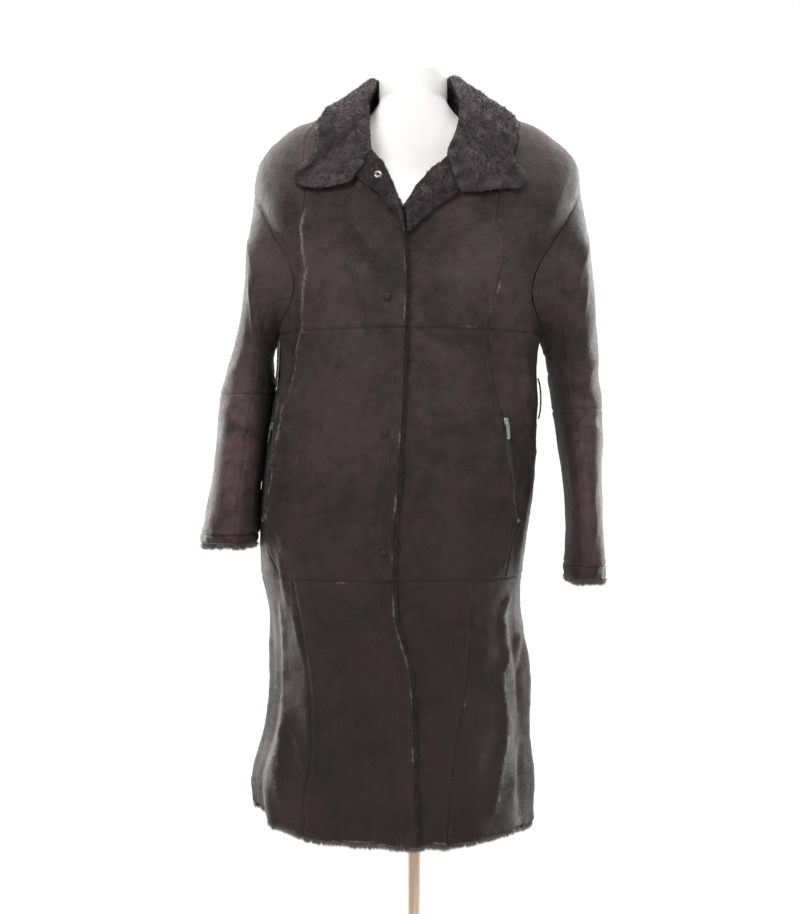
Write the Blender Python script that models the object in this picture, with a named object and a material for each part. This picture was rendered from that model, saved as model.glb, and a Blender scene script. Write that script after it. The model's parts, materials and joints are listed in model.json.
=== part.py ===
"""A long shearling coat, leather outside and fur inside, on a limbless dress form.

Metres, +Z up, the front faces -Y, and the origin is the centre of the base on the floor.
The coat's body is one smooth surface, coat_point(turn, level):
  turn   goes round the body: 0 centre front, +0.5 the +X side, 1 and -1 centre back,
         -0.5 the -X side
  level  names a ring by the height of its front point; above the chest a ring's sides
         climb to the shoulder, so the rings close over the shoulders to the neck
Each panel is a grid on that surface with a second layer inside it, a wall's thickness in.
Right and left are the wearer's: R is the -X side, L the +X side.
"""

import math

import bmesh
import bpy
import numpy as np

# Driving sizes
WALL = 0.008            # shearling: the skin with its clipped fur
SEAM = 0.00018          # half of the gap between two panels
LAY_GAP = 0.0004        # under what lies on a panel
CELL = 0.030            # widest step of a panel's grid
SQUARENESS = 0.055      # how far a ring fills its corners
SHOULDER_STEPS = 10     # rows of a panel's grid from the shoulder tip to the neck
HEM, TIER_LOW, TIER_HIGH, NECK = 0.33, 0.71, 1.076, 1.385   # levels of hem, seams and neck
SHOULDER_TIP = 1.17     # level of the ring through the shoulder tips
LAP_GAP = 0.0018        # between the two fronts where they overlap
FACE_GAP = 0.0011       # under the turned-out facings
UNDERLAP = 0.032        # how far the left front runs on under the right one
LAP_EASE = 0.045        # over which the right front climbs on to the left one
TINY = 1e-9             # keeps a division from zero
PROBE, SLEEVE_PROBE = 1e-4, 1e-3        # steps for a surface's normal
INSIDE = 2e-4           # how far inside the surface's ends its normal is taken
TURN_SAMPLES, FIND_STEPS, FIND_SHARE = 801, 12, 0.7     # how closely a place is found
LINE_STEPS = 9          # points along a facing, a zip or a belt loop
SIDE_COLUMNS, BACK_COLUMNS = 4, {"lower": 12, "middle": 11, "upper": 11}
LAP_COLUMNS = 2         # more columns in the upper centre fronts, for the shoulder
SHARP_ANGLE = math.radians(40)

# The coat's rings: level; heights of the sides and back; side edges; front and back
RINGS = np.array([
    # level  -X z   +X z   back z  -X edge +X edge front  back
    [0.330, 0.352, 0.334, 0.330, -0.240, 0.181, 0.172, 0.160],
    [0.400, 0.405, 0.402, 0.400, -0.246, 0.181, 0.168, 0.158],
    [0.480, 0.480, 0.480, 0.480, -0.226, 0.175, 0.163, 0.152],
    [0.573, 0.573, 0.573, 0.573, -0.217, 0.175, 0.157, 0.147],
    [0.660, 0.660, 0.660, 0.660, -0.225, 0.164, 0.152, 0.142],
    [0.740, 0.740, 0.740, 0.740, -0.2375, 0.170, 0.149, 0.138],
    [0.850, 0.850, 0.850, 0.850, -0.2350, 0.186, 0.148, 0.136],
    [0.970, 0.970, 0.970, 0.970, -0.2185, 0.192, 0.150, 0.136],
    [1.076, 1.076, 1.076, 1.076, -0.212, 0.197, 0.151, 0.138],
    [1.170, 1.300, 1.305, 1.200, -0.247, 0.257, 0.146, 0.140],
    [1.270, 1.388, 1.388, 1.310, -0.202, 0.208, 0.127, 0.125],
    [1.340, 1.414, 1.414, 1.385, -0.146, 0.154, 0.097, 0.095],
    [1.385, 1.430, 1.430, 1.428, -0.078, 0.076, 0.066, 0.064],
])

# Front seams as (x, z) seen from the front, top to bottom, one list for each tier
SIDE_FRONT_SEAMS = {
    "L": {"upper": [(0.150, 1.395), (0.124, 1.290), (0.119, 1.235), (0.107, 1.076)],
          "middle": [(0.107, 1.076), (0.119, 0.980), (0.130, 0.950), (0.153, 0.790),
                     (0.133, 0.710)],
          "lower": [(0.087, 0.710), (0.082, 0.645), (0.073, 0.550), (0.058, 0.470),
                    (0.046, 0.330)]},
    "R": {"upper": [(-0.150, 1.395), (-0.160, 1.290), (-0.164, 1.240), (-0.170, 1.137),
                    (-0.176, 1.076)],
          "middle": [(-0.176, 1.076), (-0.196, 1.000), (-0.204, 0.960), (-0.220, 0.860),
                     (-0.227, 0.780), (-0.200, 0.710)],
          "lower": [(-0.180, 0.710), (-0.169, 0.650), (-0.162, 0.600), (-0.155, 0.430),
                    (-0.161, 0.330)]},
}
SEAM_TOP = 1.34         # level at which the side seams run out at the shoulder
SIDE_BACK_TURN = {"upper": 0.78, "middle": 0.74, "lower": 0.75}   # side-back seams
SHOULDER_SEAM_TURN = 0.60       # where the side-back seams meet the shoulder
# The right front's edge down the closure, and both edges up the neck opening, as (x, z)
CLOSURE = [(-0.020, 1.250), (-0.0150, 1.200), (-0.0134, 1.076), (-0.018, 0.970),
           (-0.0234, 0.862), (-0.0312, 0.733), (-0.0278, 0.650), (-0.0090, 0.590),
           (-0.0035, 0.530), (-0.0007, 0.400), (0.002, 0.330)]
OPENING_EDGE = {
    "R": [(-0.072, 1.421), (-0.090, 1.385), (-0.076, 1.346), (-0.048, 1.315), (-0.034, 1.285)],
    "L": [(0.070, 1.421), (0.088, 1.385), (0.070, 1.345), (0.042, 1.326), (0.020, 1.307),
          (-0.001, 1.283),
          (-0.0176, 1.258), (-0.042, 1.235)],
}
# Free edges of the turned-out facings, as (x, z), bottom to top
FACING_FREE_EDGE = {
    "R": [(-0.0172, 1.212), (-0.0275, 1.238), (-0.049, 1.266), (-0.078, 1.292),
          (-0.090, 1.304)],
    "L": [(-0.0110, 1.215), (0.006, 1.231), (0.032, 1.254), (0.062, 1.274)],
}
FACING_FOLD = {
    "R": [(-0.0160, 1.213), (-0.0205, 1.250), (-0.033, 1.285), (-0.045, 1.313),
          (-0.058, 1.332)],
    "L": [(-0.0125, 1.258), (0.001, 1.283), (0.020, 1.306), (0.043, 1.328)],
}
FACING_THICK = {"R": 0.008, "L": 0.011}
FACING_PILE = [0.55, 1.0, 1.0, 0.7]     # the fur's height from free edge to fold

# The largest folds: turn, lowest and highest level, height out of the cloth, half-width
FOLDS = np.array([
    # turn   from   to     out     half-width in turn
    [-0.430, 0.330, 0.680, 0.007, 0.020],
    [-0.365, 0.330, 0.620, -0.006, 0.022],
    [-0.300, 0.330, 0.560, 0.006, 0.024],
    [-0.120, 0.330, 0.500, -0.004, 0.030],
    [0.330, 0.380, 0.690, -0.006, 0.024],
    [0.400, 0.330, 0.660, 0.007, 0.022],
    [0.180, 0.330, 0.520, 0.004, 0.030],
    [-0.330, 0.800, 1.060, 0.005, 0.024],
    [0.360, 0.760, 1.020, 0.004, 0.022],
    [0.610, 0.330, 0.640, 0.008, 0.030],
    [0.820, 0.330, 0.700, 0.007, 0.035],
    [-0.900, 0.330, 0.660, 0.008, 0.035],
    [-0.680, 0.330, 0.600, 0.007, 0.030],
])
FOLD_FADE = 0.09        # length over which a fold dies away at its ends
TURN_METRES = 0.52      # girth for one unit of turn, roughly

# The armhole: middle and half height in level, reach round the body in turn
ARM_LEVEL, ARM_HALF = 0.5 * (TIER_HIGH + SHOULDER_TIP), 0.5 * (SHOULDER_TIP - TIER_HIGH)
ARM_REACH = 0.235
# Hanging sleeves: outer and inner edges seen from the front, middle and half depth fore-aft
SLEEVE_RINGS = {
    # outer x, outer z, inner x, inner z, middle y, half depth
    "L": np.array([
        [0.271, 1.225, 0.2045, 1.056, 0.004, 0.100],
        [0.279, 1.140, 0.2070, 1.044, 0.006, 0.096],
        [0.284, 1.065, 0.2100, 1.026, 0.008, 0.090],
        [0.287, 1.010, 0.213, 1.005, 0.008, 0.082],
        [0.290, 0.963, 0.218, 0.963, 0.004, 0.077],
        [0.291, 0.905, 0.225, 0.905, -0.006, 0.074],
        [0.286, 0.835, 0.233, 0.835, -0.022, 0.072],
        [0.286, 0.775, 0.234, 0.775, -0.036, 0.070],
        [0.288, 0.728, 0.230, 0.728, -0.044, 0.068]]),
    "R": np.array([
        [-0.2560, 1.225, -0.2195, 1.056, 0.004, 0.100],
        [-0.2630, 1.140, -0.2215, 1.044, 0.006, 0.096],
        [-0.2780, 1.062, -0.2205, 1.026, 0.008, 0.088],
        [-0.292, 1.018, -0.2192, 1.008, 0.008, 0.080],
        [-0.299, 0.985, -0.2203, 0.985, 0.004, 0.074],
        [-0.304, 0.920, -0.2290, 0.920, -0.008, 0.070],
        [-0.311, 0.850, -0.2376, 0.850, -0.024, 0.067],
        [-0.319, 0.795, -0.2397, 0.795, -0.036, 0.065],
        [-0.323, 0.774, -0.2404, 0.774, -0.042, 0.064]]),
}
ELBOW_RING = 4          # row of the ring at the elbow seam
ROW_START = 0.02        # nearest to the armhole that a sleeve's normal is taken
FOLD_APART = 0.6        # body and sleeve count as one surface above this likeness
SLEEVE_ROWS = {"upper": 12, "lower": 7}
ARM_STEP = math.pi / 8  # step between points round an armhole and a sleeve
TOP_STEPS, UNDER_STEPS = 5, 3   # half-widths of the top and under sleeve, in such steps
CUFF_DROP = {"R": 0.020, "L": 0.026}
CUFF_FULL = 1.012       # the cuff band's girth over the sleeve's
CUFF_COLUMNS, ARM_ROWS = 20, 9      # columns round a cuff, rows along an armhole

# The collar's sections. At the front: crest x y z, then x and z of its outer edge and of
# its foot, which both lie on the fronts
COLLAR_THICK, STAND_THICK, COLLAR_BULGE = 0.012, 0.007, 0.003
COLLAR_FRONT = {
    # crest x   y      z      edge x  z      foot x  z
    "R": [[-0.067, -0.116, 1.342, -0.092, 1.292, -0.082, 1.320],
          [-0.072, -0.100, 1.364, -0.138, 1.282, -0.090, 1.350],
          [-0.074, -0.080, 1.394, -0.176, 1.298, -0.100, 1.376],
          [-0.073, -0.054, 1.428, -0.145, 1.350, -0.094, 1.400]],
    "L": [[0.050, -0.118, 1.338, 0.068, 1.272, 0.062, 1.316],
          [0.063, -0.104, 1.362, 0.112, 1.278, 0.078, 1.346],
          [0.072, -0.082, 1.394, 0.161, 1.290, 0.096, 1.374],
          [0.072, -0.054, 1.430, 0.145, 1.348, 0.092, 1.400]],
}
# Round the neck: crest x y z, then turn and level of the outer edge; the foot is the neckline
COLLAR_BACK = [
    [-0.067, -0.020, 1.458, -0.430, 1.357],
    [-0.063, 0.006, 1.476, -0.520, 1.360],
    [-0.050, 0.052, 1.482, -0.740, 1.306],
    [0.000, 0.071, 1.484, -1.000, 1.292],
    [0.050, 0.052, 1.484, -1.265, 1.306],
    [0.062, 0.006, 1.480, -1.490, 1.358],
    [0.067, -0.020, 1.460, -1.580, 1.354],
]
COLLAR_STEPS = 30
COLLAR_FULL = 0.08      # a fall longer than this has the whole bulge
# The middle line of its section: shares of the stand, then of the fall with its bulge
STAND_MIDDLE, CREST_TURN, STAND_SINK = 0.55, 0.02, 0.1
FALL_PATH = [(0.22, 0.8), (0.50, 1.0), (0.80, 0.5)]
COLLAR_LAP_TURN = -0.3  # the right end, which lies on the lifted front, is past this turn
COLLAR_GAP = 0.0028     # under the collar's outer edge
FOOT_RISE = 0.0045      # the collar's foot above the neckline's edge

# Zips on the side-front seams: x and z of the top and the end stop, seen from the front
ZIPS = {"L": [(0.1295, 0.951), (0.153, 0.792)], "R": [(-0.2075, 0.945), (-0.2265, 0.792)]}
ZIP_WIDTH, ZIP_THICK = 0.012, 0.0022
ZIP_RISE, ZIP_CLEAR = 0.0006, 0.0003    # strip above the cloth's gap, metal above the strip
SLIDER_AT, STOP_AT = 0.06, 0.97         # places along the zip
SLIDER = (0.0085, 0.0035, 0.013)      # width, height, length
PULL = (0.0060, 0.0012, 0.026)
PULL_CLEAR, PULL_STUB = 0.0005, 0.0006  # tab above its slider, and beyond its hinge
STOP = (0.008, 0.0022, 0.006)
SLIDER_BEVEL, PULL_BEVEL, STOP_BEVEL = 0.0009, 0.0003, 0.0005
SNAPS = [(-0.040, 1.120), (-0.043, 0.926), (-0.045, 0.752)]
SNAP_RADIUS, SNAP_HEIGHT, CAP_SEAT = 0.0056, 0.0026, 0.0001
CAP_PROFILE = [(1.0, 0.0), (0.93, 0.55), (0.55, 0.93)]  # shares of its radius and height
OPEN_SNAP = (-0.0535, 1.2930)
RING_RADIUS, RING_HEIGHT, SNAP_SEGMENTS = 0.0062, 0.0024, 16
RING_PROFILE = [(1.0, 0.0), (0.9, 0.8), (0.65, 1.0), (0.31, 0.7), (0.31, 0.0)]
# Belt loops: turn, level of the middle, half height, half width, stand-off
BELT_LOOPS = {"R": (-0.395, 1.036), "L": (0.470, 0.985)}
LOOP_HALF, LOOP_WIDE, LOOP_THICK, LOOP_OFF = 0.036, 0.0065, 0.0022, 0.0028
LOOP_SEAT = 0.0004      # the loops' ends above the rings

# The form: how far its skin lies inside the coat's wall at the sides, front and back
FORM_EASE = np.array([
    # level  side   front  back
    [0.800, 0.062, 0.045, 0.038],
    [0.880, 0.052, 0.036, 0.030],
    [1.000, 0.075, 0.058, 0.046],
    [1.076, 0.060, 0.040, 0.034],
    [1.170, 0.052, 0.017, 0.016],
    [1.270, 0.012, 0.016, 0.010],
    [1.320, 0.0044, 0.036, 0.020],
    [1.352, 0.0039, 0.030, 0.016],
    [1.385, 0.0055, 0.006, 0.009],
])
NECK_X, NECK_Y, NECK_TOP, NECK_BEVEL = -0.0015, 0.003, 1.489, 0.0037
FORM_BOTTOM, FORM_BOTTOM_SHARE = 0.785, 0.9     # underside's height, its size to the ring above
FORM_ROWS, FORM_CHEST = 8, 1.13                 # rows from the form's bottom to its chest
NECK_RINGS = [(1.438, 0.0550), (1.452, 0.0535), (1.468, 0.0530), (1.484, 0.0528)]
FORM_SEGMENTS = 44
POLE_RADIUS, POLE_GAP = 0.0102, 0.0003      # the gap at each of its ends
POLE_SEGMENTS, BASE_SEGMENTS = 20, 48
BASE_RADIUS, BASE_HEIGHT, BASE_CHAMFER = 0.170, 0.016, 0.004

COLOURS = {
    "leather": ((0.060, 0.050, 0.050), 0.62, 0.0),
    "fur": ((0.032, 0.026, 0.027), 0.95, 0.0),
    "form": ((0.80, 0.79, 0.78), 0.75, 0.0),
    "beech": ((0.62, 0.46, 0.33), 0.55, 0.0),
    "steel": ((0.62, 0.61, 0.60), 0.30, 1.0),
    "base": ((0.78, 0.77, 0.76), 0.45, 0.0),
}


def clear_scene():
    """Remove whatever the file opened with."""
    for old in list(bpy.data.objects):
        bpy.data.objects.remove(old, do_unlink=True)


def material(name):
    """The named finish: colour, roughness and metallic value."""
    found = bpy.data.materials.get(name)
    if found:
        return found
    colour, roughness, metallic = COLOURS[name]
    found = bpy.data.materials.new(name)
    found.use_nodes = True
    shader = found.node_tree.nodes["Principled BSDF"]
    shader.inputs["Base Color"].default_value = (*colour, 1.0)
    shader.inputs["Roughness"].default_value = roughness
    shader.inputs["Metallic"].default_value = metallic
    return found


def add_object(name, points, faces, finish, smooth=True):
    """One closed piece from its points and faces."""
    mesh = bpy.data.meshes.new(name)
    mesh.from_pydata([tuple(map(float, p)) for p in points], [], faces)
    mesh.validate()
    work = bmesh.new()
    work.from_mesh(mesh)
    bmesh.ops.recalc_face_normals(work, faces=work.faces)
    work.to_mesh(mesh)
    work.free()
    mesh.materials.append(material(finish))
    if smooth:
        mesh.shade_smooth()
        mesh.set_sharp_from_angle(angle=SHARP_ANGLE)
    piece = bpy.data.objects.new(name, mesh)
    bpy.context.scene.collection.objects.link(piece)
    return piece


def smooth_rows(table, at):
    """Cubic through a table's rows at any values of its first column, one column each."""
    at = np.clip(np.asarray(at, float), table[0, 0], table[-1, 0])
    key, rows = table[:, 0], table[:, 1:]
    slope = np.gradient(rows, key, axis=0)
    low = np.clip(np.searchsorted(key, at, side="right") - 1, 0, len(key) - 2)
    span = (key[low + 1] - key[low])[..., None]
    t = (at - key[low])[..., None] / span
    return ((2 * t**3 - 3 * t**2 + 1) * rows[low] + (t**3 - 2 * t**2 + t) * span * slope[low]
            + (3 * t**2 - 2 * t**3) * rows[low + 1] + (t**3 - t**2) * span * slope[low + 1])


def ease(value):
    """0 below 0, 1 above 1, and smooth between."""
    value = np.clip(value, 0.0, 1.0)
    return value * value * (3 - 2 * value)


def unit(vectors):
    """Vectors divided by their lengths."""
    return vectors / np.maximum(np.linalg.norm(vectors, axis=-1, keepdims=True), TINY)


def ring_point(turn, level):
    """The plain ring surface, before folds: an ellipse with filled corners at each level."""
    left_z, right_z, back_z, x_low, x_high, front, back = np.moveaxis(
        smooth_rows(RINGS, level), -1, 0)
    sine, cosine = np.sin(math.pi * turn), np.cos(math.pi * turn)
    full = 1 + SQUARENESS * (2 * sine * cosine) ** 2
    x = 0.5 * (x_low + x_high) + 0.5 * (x_high - x_low) * sine * full
    y = -np.where(cosine > 0, front, back) * cosine * full
    side_z = np.where(sine > 0, right_z, left_z)
    z = side_z * sine**2 + np.where(cosine > 0, level, back_z) * cosine**2
    return np.stack(np.broadcast_arrays(x, y, z), -1)


def surface_normal(surface, a, b, step=PROBE):
    """The outward normal of a surface of two parameters, by small steps."""
    along_a = surface(a + step, b) - surface(a - step, b)
    along_b = surface(a, b + step) - surface(a, b - step)
    return unit(np.cross(along_a, along_b))


def fold_height(turn, level):
    """How far the large folds push the cloth out: soft ridges that die away at their ends."""
    total = np.zeros(np.broadcast(turn, level).shape)
    for at, low, high, out, half in FOLDS:
        away = (turn - at + 1) % 2 - 1
        ends = ease((level - low + FOLD_FADE) / FOLD_FADE) * ease((high - level) / FOLD_FADE)
        total += out * np.exp(-(away / half) ** 2) * ends
    return total


def coat_normal(turn, level):
    """The ring surface's outward normal, the way in which the wall has its thickness."""
    return surface_normal(ring_point, turn, np.clip(level, HEM + INSIDE, NECK - INSIDE))


def coat_point(turn, level, out=0.0):
    """A point of the coat's leather face, moved out by a distance."""
    height = fold_height(turn, level) + out
    return ring_point(turn, level) + coat_normal(turn, level) * height[..., None]


def turn_at(x, level):
    """The turn, on the front, where the ring at a level has this x."""
    turns = np.linspace(-0.5, 0.5, TURN_SAMPLES)
    x, level = np.broadcast_arrays(np.asarray(x, float), np.asarray(level, float))
    found = [np.interp(v, ring_point(turns, np.full(TURN_SAMPLES, l))[:, 0], turns)
             for v, l in zip(x.ravel(), level.ravel())]
    return np.array(found).reshape(x.shape)


def on_front(points):
    """(turn, level) of points on the front given as (x, z)."""
    points = np.array(points, float)
    level = np.minimum(points[:, 1], NECK)
    turn = turn_at(points[:, 0], level)
    for _ in range(FIND_STEPS):
        z = ring_point(turn, level)[:, 2]
        level = np.clip(level + FIND_SHARE * (points[:, 1] - z), HEM, NECK)
        turn = turn_at(points[:, 0], level)
    return np.stack([turn, level], -1)


def turn_along(points, levels):
    """The turn at each level along a line on the front given as (x, z)."""
    line = on_front(points)
    line = line[np.argsort(line[:, 1])]
    return np.interp(levels, line[:, 1], line[:, 0])


def armhole_turn(side, angle):
    """The turn of the armhole's edge: angle 0 at the shoulder tip, pi under the arm."""
    sign = 1 if side == "L" else -1
    return sign * (0.5 - ARM_REACH * np.sin(angle))


def armhole_level(angle):
    """The level of the armhole's edge."""
    return ARM_LEVEL + ARM_HALF * np.cos(angle)


def wall_solid(name, outer, inner, finish, round_way=False):
    """A closed wall from a grid of outer points and the matching inner ones."""
    rows, cols = outer.shape[:2]
    points = np.concatenate([outer.reshape(-1, 3), inner.reshape(-1, 3)])
    layer = rows * cols
    step = cols if round_way else cols - 1

    def at(i, j, k):
        return k * layer + i * cols + j % cols

    faces = []
    for i in range(rows - 1):
        for j in range(step):
            faces.append((at(i, j, 0), at(i, j + 1, 0), at(i + 1, j + 1, 0), at(i + 1, j, 0)))
            faces.append((at(i, j, 1), at(i + 1, j, 1), at(i + 1, j + 1, 1), at(i, j + 1, 1)))
    for j in range(step):
        faces.append((at(0, j, 0), at(0, j, 1), at(0, j + 1, 1), at(0, j + 1, 0)))
        faces.append((at(rows - 1, j, 0), at(rows - 1, j + 1, 0),
                      at(rows - 1, j + 1, 1), at(rows - 1, j, 1)))
    if not round_way:
        for i in range(rows - 1):
            faces.append((at(i, 0, 0), at(i + 1, 0, 0), at(i + 1, 0, 1), at(i, 0, 1)))
            faces.append((at(i, cols - 1, 0), at(i, cols - 1, 1),
                          at(i + 1, cols - 1, 1), at(i + 1, cols - 1, 0)))
    return add_object(name, points, faces, finish)


def pull_in(outer, inner):
    """Draw a grid's borders in by the seam gap, both layers alike."""
    for axis in (0, 1):
        face, back = np.moveaxis(outer, axis, 0), np.moveaxis(inner, axis, 0)
        for edge, near in ((0, 1), (-1, -2)):
            way = unit(face[near] - face[edge]) * SEAM
            face[edge] += way
            back[edge] += way
    return outer, inner


def sleeve_seam_normal(side, angle, own):
    """The wall's direction along the armhole: midway between body and sleeve where they
    run on from each other, and the panel's own direction where they fold apart."""
    body = coat_normal(armhole_turn(side, angle), armhole_level(angle))
    arm = sleeve_normal(side, angle, np.full(np.shape(angle), ROW_START))
    alike = np.sum(body * arm, -1, keepdims=True)
    share = ease(alike / FOLD_APART)
    return unit((body if own == "body" else arm) * (1 - share) + unit(body + arm) * share)


def panel(name, levels, low_turn, high_turn, columns, lift=None, armhole=None):
    """A body panel: rows at levels, columns between two lines, a wall inside its face."""
    across = np.linspace(0, 1, columns + 1)[None, :]
    turn = low_turn[:, None] * (1 - across) + high_turn[:, None] * across
    level = np.repeat(levels[:, None], columns + 1, 1)
    out = np.zeros(turn.shape) if lift is None else lift(turn, level)
    outer = coat_point(turn, level, out)
    normal = coat_normal(turn, level)
    if armhole is not None:
        side, column, angles = armhole
        normal[:len(angles), column] = sleeve_seam_normal(side, angles, "body")
    for row, at_level in enumerate(levels):
        if min(abs(at_level - TIER_LOW), abs(at_level - TIER_HIGH)) < TINY:
            normal[row, :, 2] = 0.0
    inner = outer - unit(normal) * WALL
    outer, inner = pull_in(outer, inner)
    return wall_solid(name, outer, inner, "leather")


def level_rows(low, high):
    """Evenly spaced levels, no further apart than a cell."""
    count = max(2, int(math.ceil((high - low) / CELL)))
    return np.linspace(low, high, count + 1)


def lap_lift(turn, level):
    """How far the right front is lifted to pass over the left one."""
    x = ring_point(turn, level)[..., 0]
    under = turn_along(CLOSURE, level)
    edge_x = ring_point(under, level)[..., 0]
    rise = ease((x - (edge_x - UNDERLAP - LAP_EASE)) / LAP_EASE)
    return rise * (WALL + LAP_GAP)


def closure_turn(side, levels):
    """The turn of a front's edge: down the closure and up the neck opening."""
    if side == "R":
        return turn_along(OPENING_EDGE["R"] + CLOSURE, levels)
    under = [(x - UNDERLAP, z) for x, z in CLOSURE[1:]]
    return turn_along(OPENING_EDGE["L"] + under, levels)


def shoulder_rows():
    """Levels from the shoulder tip to the neck, for the coat and for the form under it."""
    return np.linspace(SHOULDER_TIP, NECK, SHOULDER_STEPS + 1)


def upper_rows():
    """Levels of the upper tier: even round the armhole, then on up to the neck."""
    angles = np.linspace(math.pi, 0, ARM_ROWS)
    return angles, np.concatenate([armhole_level(angles), shoulder_rows()[1:]])


def make_fronts():
    """Both fronts: three tiers, each a centre and a side panel."""
    angles, upper = upper_rows()
    tiers = {"lower": level_rows(HEM, TIER_LOW), "middle": level_rows(TIER_LOW, TIER_HIGH),
             "upper": upper}
    for side, sign in (("R", -1), ("L", 1)):
        lift = lap_lift if side == "R" else None
        for tier, levels in tiers.items():
            seam = turn_along(SIDE_FRONT_SEAMS[side][tier], levels)
            edge = closure_turn(side, levels)
            width = np.abs(seam - edge).max() * TURN_METRES
            columns = max(SIDE_COLUMNS, int(round(width / CELL)))
            low, high = (seam, edge) if side == "R" else (edge, seam)
            if tier == "upper":
                columns += LAP_COLUMNS
                top = levels >= SEAM_TOP
                shoulder = np.where(top, sign * 0.5, seam)
                low, high = (shoulder, edge) if side == "R" else (edge, shoulder)
            panel(f"front_{tier}_centre_{side}", levels, low, high, columns, lift)
            side_line = np.full(len(levels), sign * 0.5)
            hole = None
            if tier == "upper":
                keep = levels < SEAM_TOP
                levels, seam, side_line = levels[keep], seam[keep], side_line[keep]
                side_line[:len(angles)] = armhole_turn(side, angles)
                hole = (side, 0 if side == "R" else -1, angles)
            low, high = (side_line, seam) if side == "R" else (seam, side_line)
            panel(f"front_{tier}_side_{side}", levels, low, high, SIDE_COLUMNS, None, hole)


def make_back():
    """The back: three tiers, each a centre panel and two side-backs."""
    angles, upper = upper_rows()
    tiers = {"lower": level_rows(HEM, TIER_LOW), "middle": level_rows(TIER_LOW, TIER_HIGH),
             "upper": upper}
    for tier, levels in tiers.items():
        seam = np.full(len(levels), SIDE_BACK_TURN[tier])
        if tier == "upper":
            seam = np.interp(levels, [SHOULDER_TIP, SEAM_TOP],
                             [SIDE_BACK_TURN[tier], SHOULDER_SEAM_TURN])
            wide = np.where(levels >= SEAM_TOP, 0.5, seam)
        else:
            wide = seam
        panel(f"back_{tier}_centre", levels, wide, 2 - wide, BACK_COLUMNS[tier])
        for side in ("R", "L"):
            rows, side_line, hole = levels, np.full(len(levels), 0.5), None
            inner_seam = seam
            if tier == "upper":
                keep = levels < SEAM_TOP
                rows, inner_seam, side_line = levels[keep], seam[keep], side_line[keep]
                side_line[:len(angles)] = 0.5 + ARM_REACH * np.sin(angles)
                hole = (side, -1 if side == "R" else 0, 2 * math.pi - angles)
            low, high = side_line, inner_seam
            if side == "R":
                low, high = -inner_seam, -side_line
            panel(f"back_{tier}_side_{side}", rows, low, high, SIDE_COLUMNS, None, hole)


def hanging_ring(side, angle, row):
    """A sleeve's ring between its outer and inner edges, flattened as an empty sleeve is."""
    table = SLEEVE_RINGS[side]
    rows = np.column_stack([np.arange(len(table)), table])
    outer_x, outer_z, inner_x, inner_z, middle_y, depth = np.moveaxis(
        smooth_rows(rows, row), -1, 0)
    cosine, sine = np.cos(angle), np.sin(angle)
    full = 1 + SQUARENESS * (2 * sine * cosine) ** 2
    x = 0.5 * (outer_x + inner_x) + 0.5 * (outer_x - inner_x) * cosine * full
    z = 0.5 * (outer_z + inner_z) + 0.5 * (outer_z - inner_z) * cosine * full
    y = middle_y - depth * sine * full
    return np.stack([x, y, z], -1)


def sleeve_point(side, angle, row):
    """A sleeve's leather face: row -1 is the armhole's edge, 0 and on the hanging rings."""
    loop = coat_point(armhole_turn(side, angle), armhole_level(angle))
    ring = hanging_ring(side, angle, np.maximum(row, 0.0))
    share = ease(np.clip(row + 1, 0, 1))[..., None]
    return loop * (1 - share) + ring * share


def sleeve_normal(side, angle, row):
    """A sleeve's outward normal; row here counts from the armhole at 0."""
    def surface(a, b):
        return sleeve_point(side, a, b - 1)
    normal = surface_normal(surface, angle, np.maximum(row, ROW_START), SLEEVE_PROBE)
    return normal if side == "L" else -normal


def make_sleeves():
    """Both sleeves: an upper and a lower tier, each a top and an under panel, and a cuff."""
    last = len(SLEEVE_RINGS["L"]) - 1
    tiers = {"upper": np.linspace(-1, ELBOW_RING, SLEEVE_ROWS["upper"]),
             "lower": np.linspace(ELBOW_RING, last, SLEEVE_ROWS["lower"])}
    halves = {"top": ARM_STEP * np.arange(-TOP_STEPS, TOP_STEPS + 1),
              "under": math.pi + ARM_STEP * np.arange(-UNDER_STEPS, UNDER_STEPS + 1)}
    for side in ("R", "L"):
        for tier, rows in tiers.items():
            for half, angles in halves.items():
                angle, row = np.meshgrid(angles, rows)
                outer = sleeve_point(side, angle, row)
                normal = sleeve_normal(side, angle, row + 1)
                if tier == "upper":
                    normal[0] = sleeve_seam_normal(side, angles, "sleeve")
                else:
                    normal[-1, :, 2] = 0.0
                outer, inner = pull_in(outer, outer - unit(normal) * WALL)
                wall_solid(f"sleeve_{tier}_{half}_{side}", outer, inner, "leather")
        make_cuff(side, last)


def make_cuff(side, last):
    """A narrow band below the sleeve, a little fuller than it."""
    angle, drop = np.meshgrid(np.linspace(0, 2 * math.pi, CUFF_COLUMNS + 1)[:-1],
                              [1.0, 0.5, 0.0])
    ring = hanging_ring(side, angle, np.full(angle.shape, float(last)))
    centre = ring[0].mean(0)
    outer = centre + (ring - centre) * CUFF_FULL
    outer[..., 2] -= 2 * SEAM + drop * CUFF_DROP[side]
    radial = outer - centre
    radial[..., 2] = 0
    inner = outer - radial / np.linalg.norm(radial, axis=-1, keepdims=True) * WALL
    wall_solid(f"cuff_{side}", outer, inner, "leather", round_way=True)


def collar_stations():
    """The collar's table of sections, from the right front end round to the left one."""
    rows = []
    for side, order in (("R", 1), ("L", -1)):
        table = np.array(COLLAR_FRONT[side])
        edge, foot = on_front(table[:, 3:5]), on_front(table[:, 5:7])
        if side == "L":
            edge[:, 0] -= 2
            foot[:, 0] -= 2
        laid = np.ones((len(table), 1))
        rows.append(np.column_stack([table[:, :3], edge, foot, laid])[::order])
    back = np.array(COLLAR_BACK)
    laid = np.zeros(len(back))
    laid[[0, -1]] = 0.5
    neck = np.column_stack([back[:, 3], np.full(len(back), NECK), laid])
    table = np.concatenate([rows[0], np.column_stack([back, neck]), rows[1]])
    return np.column_stack([np.arange(len(table)), table])


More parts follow.
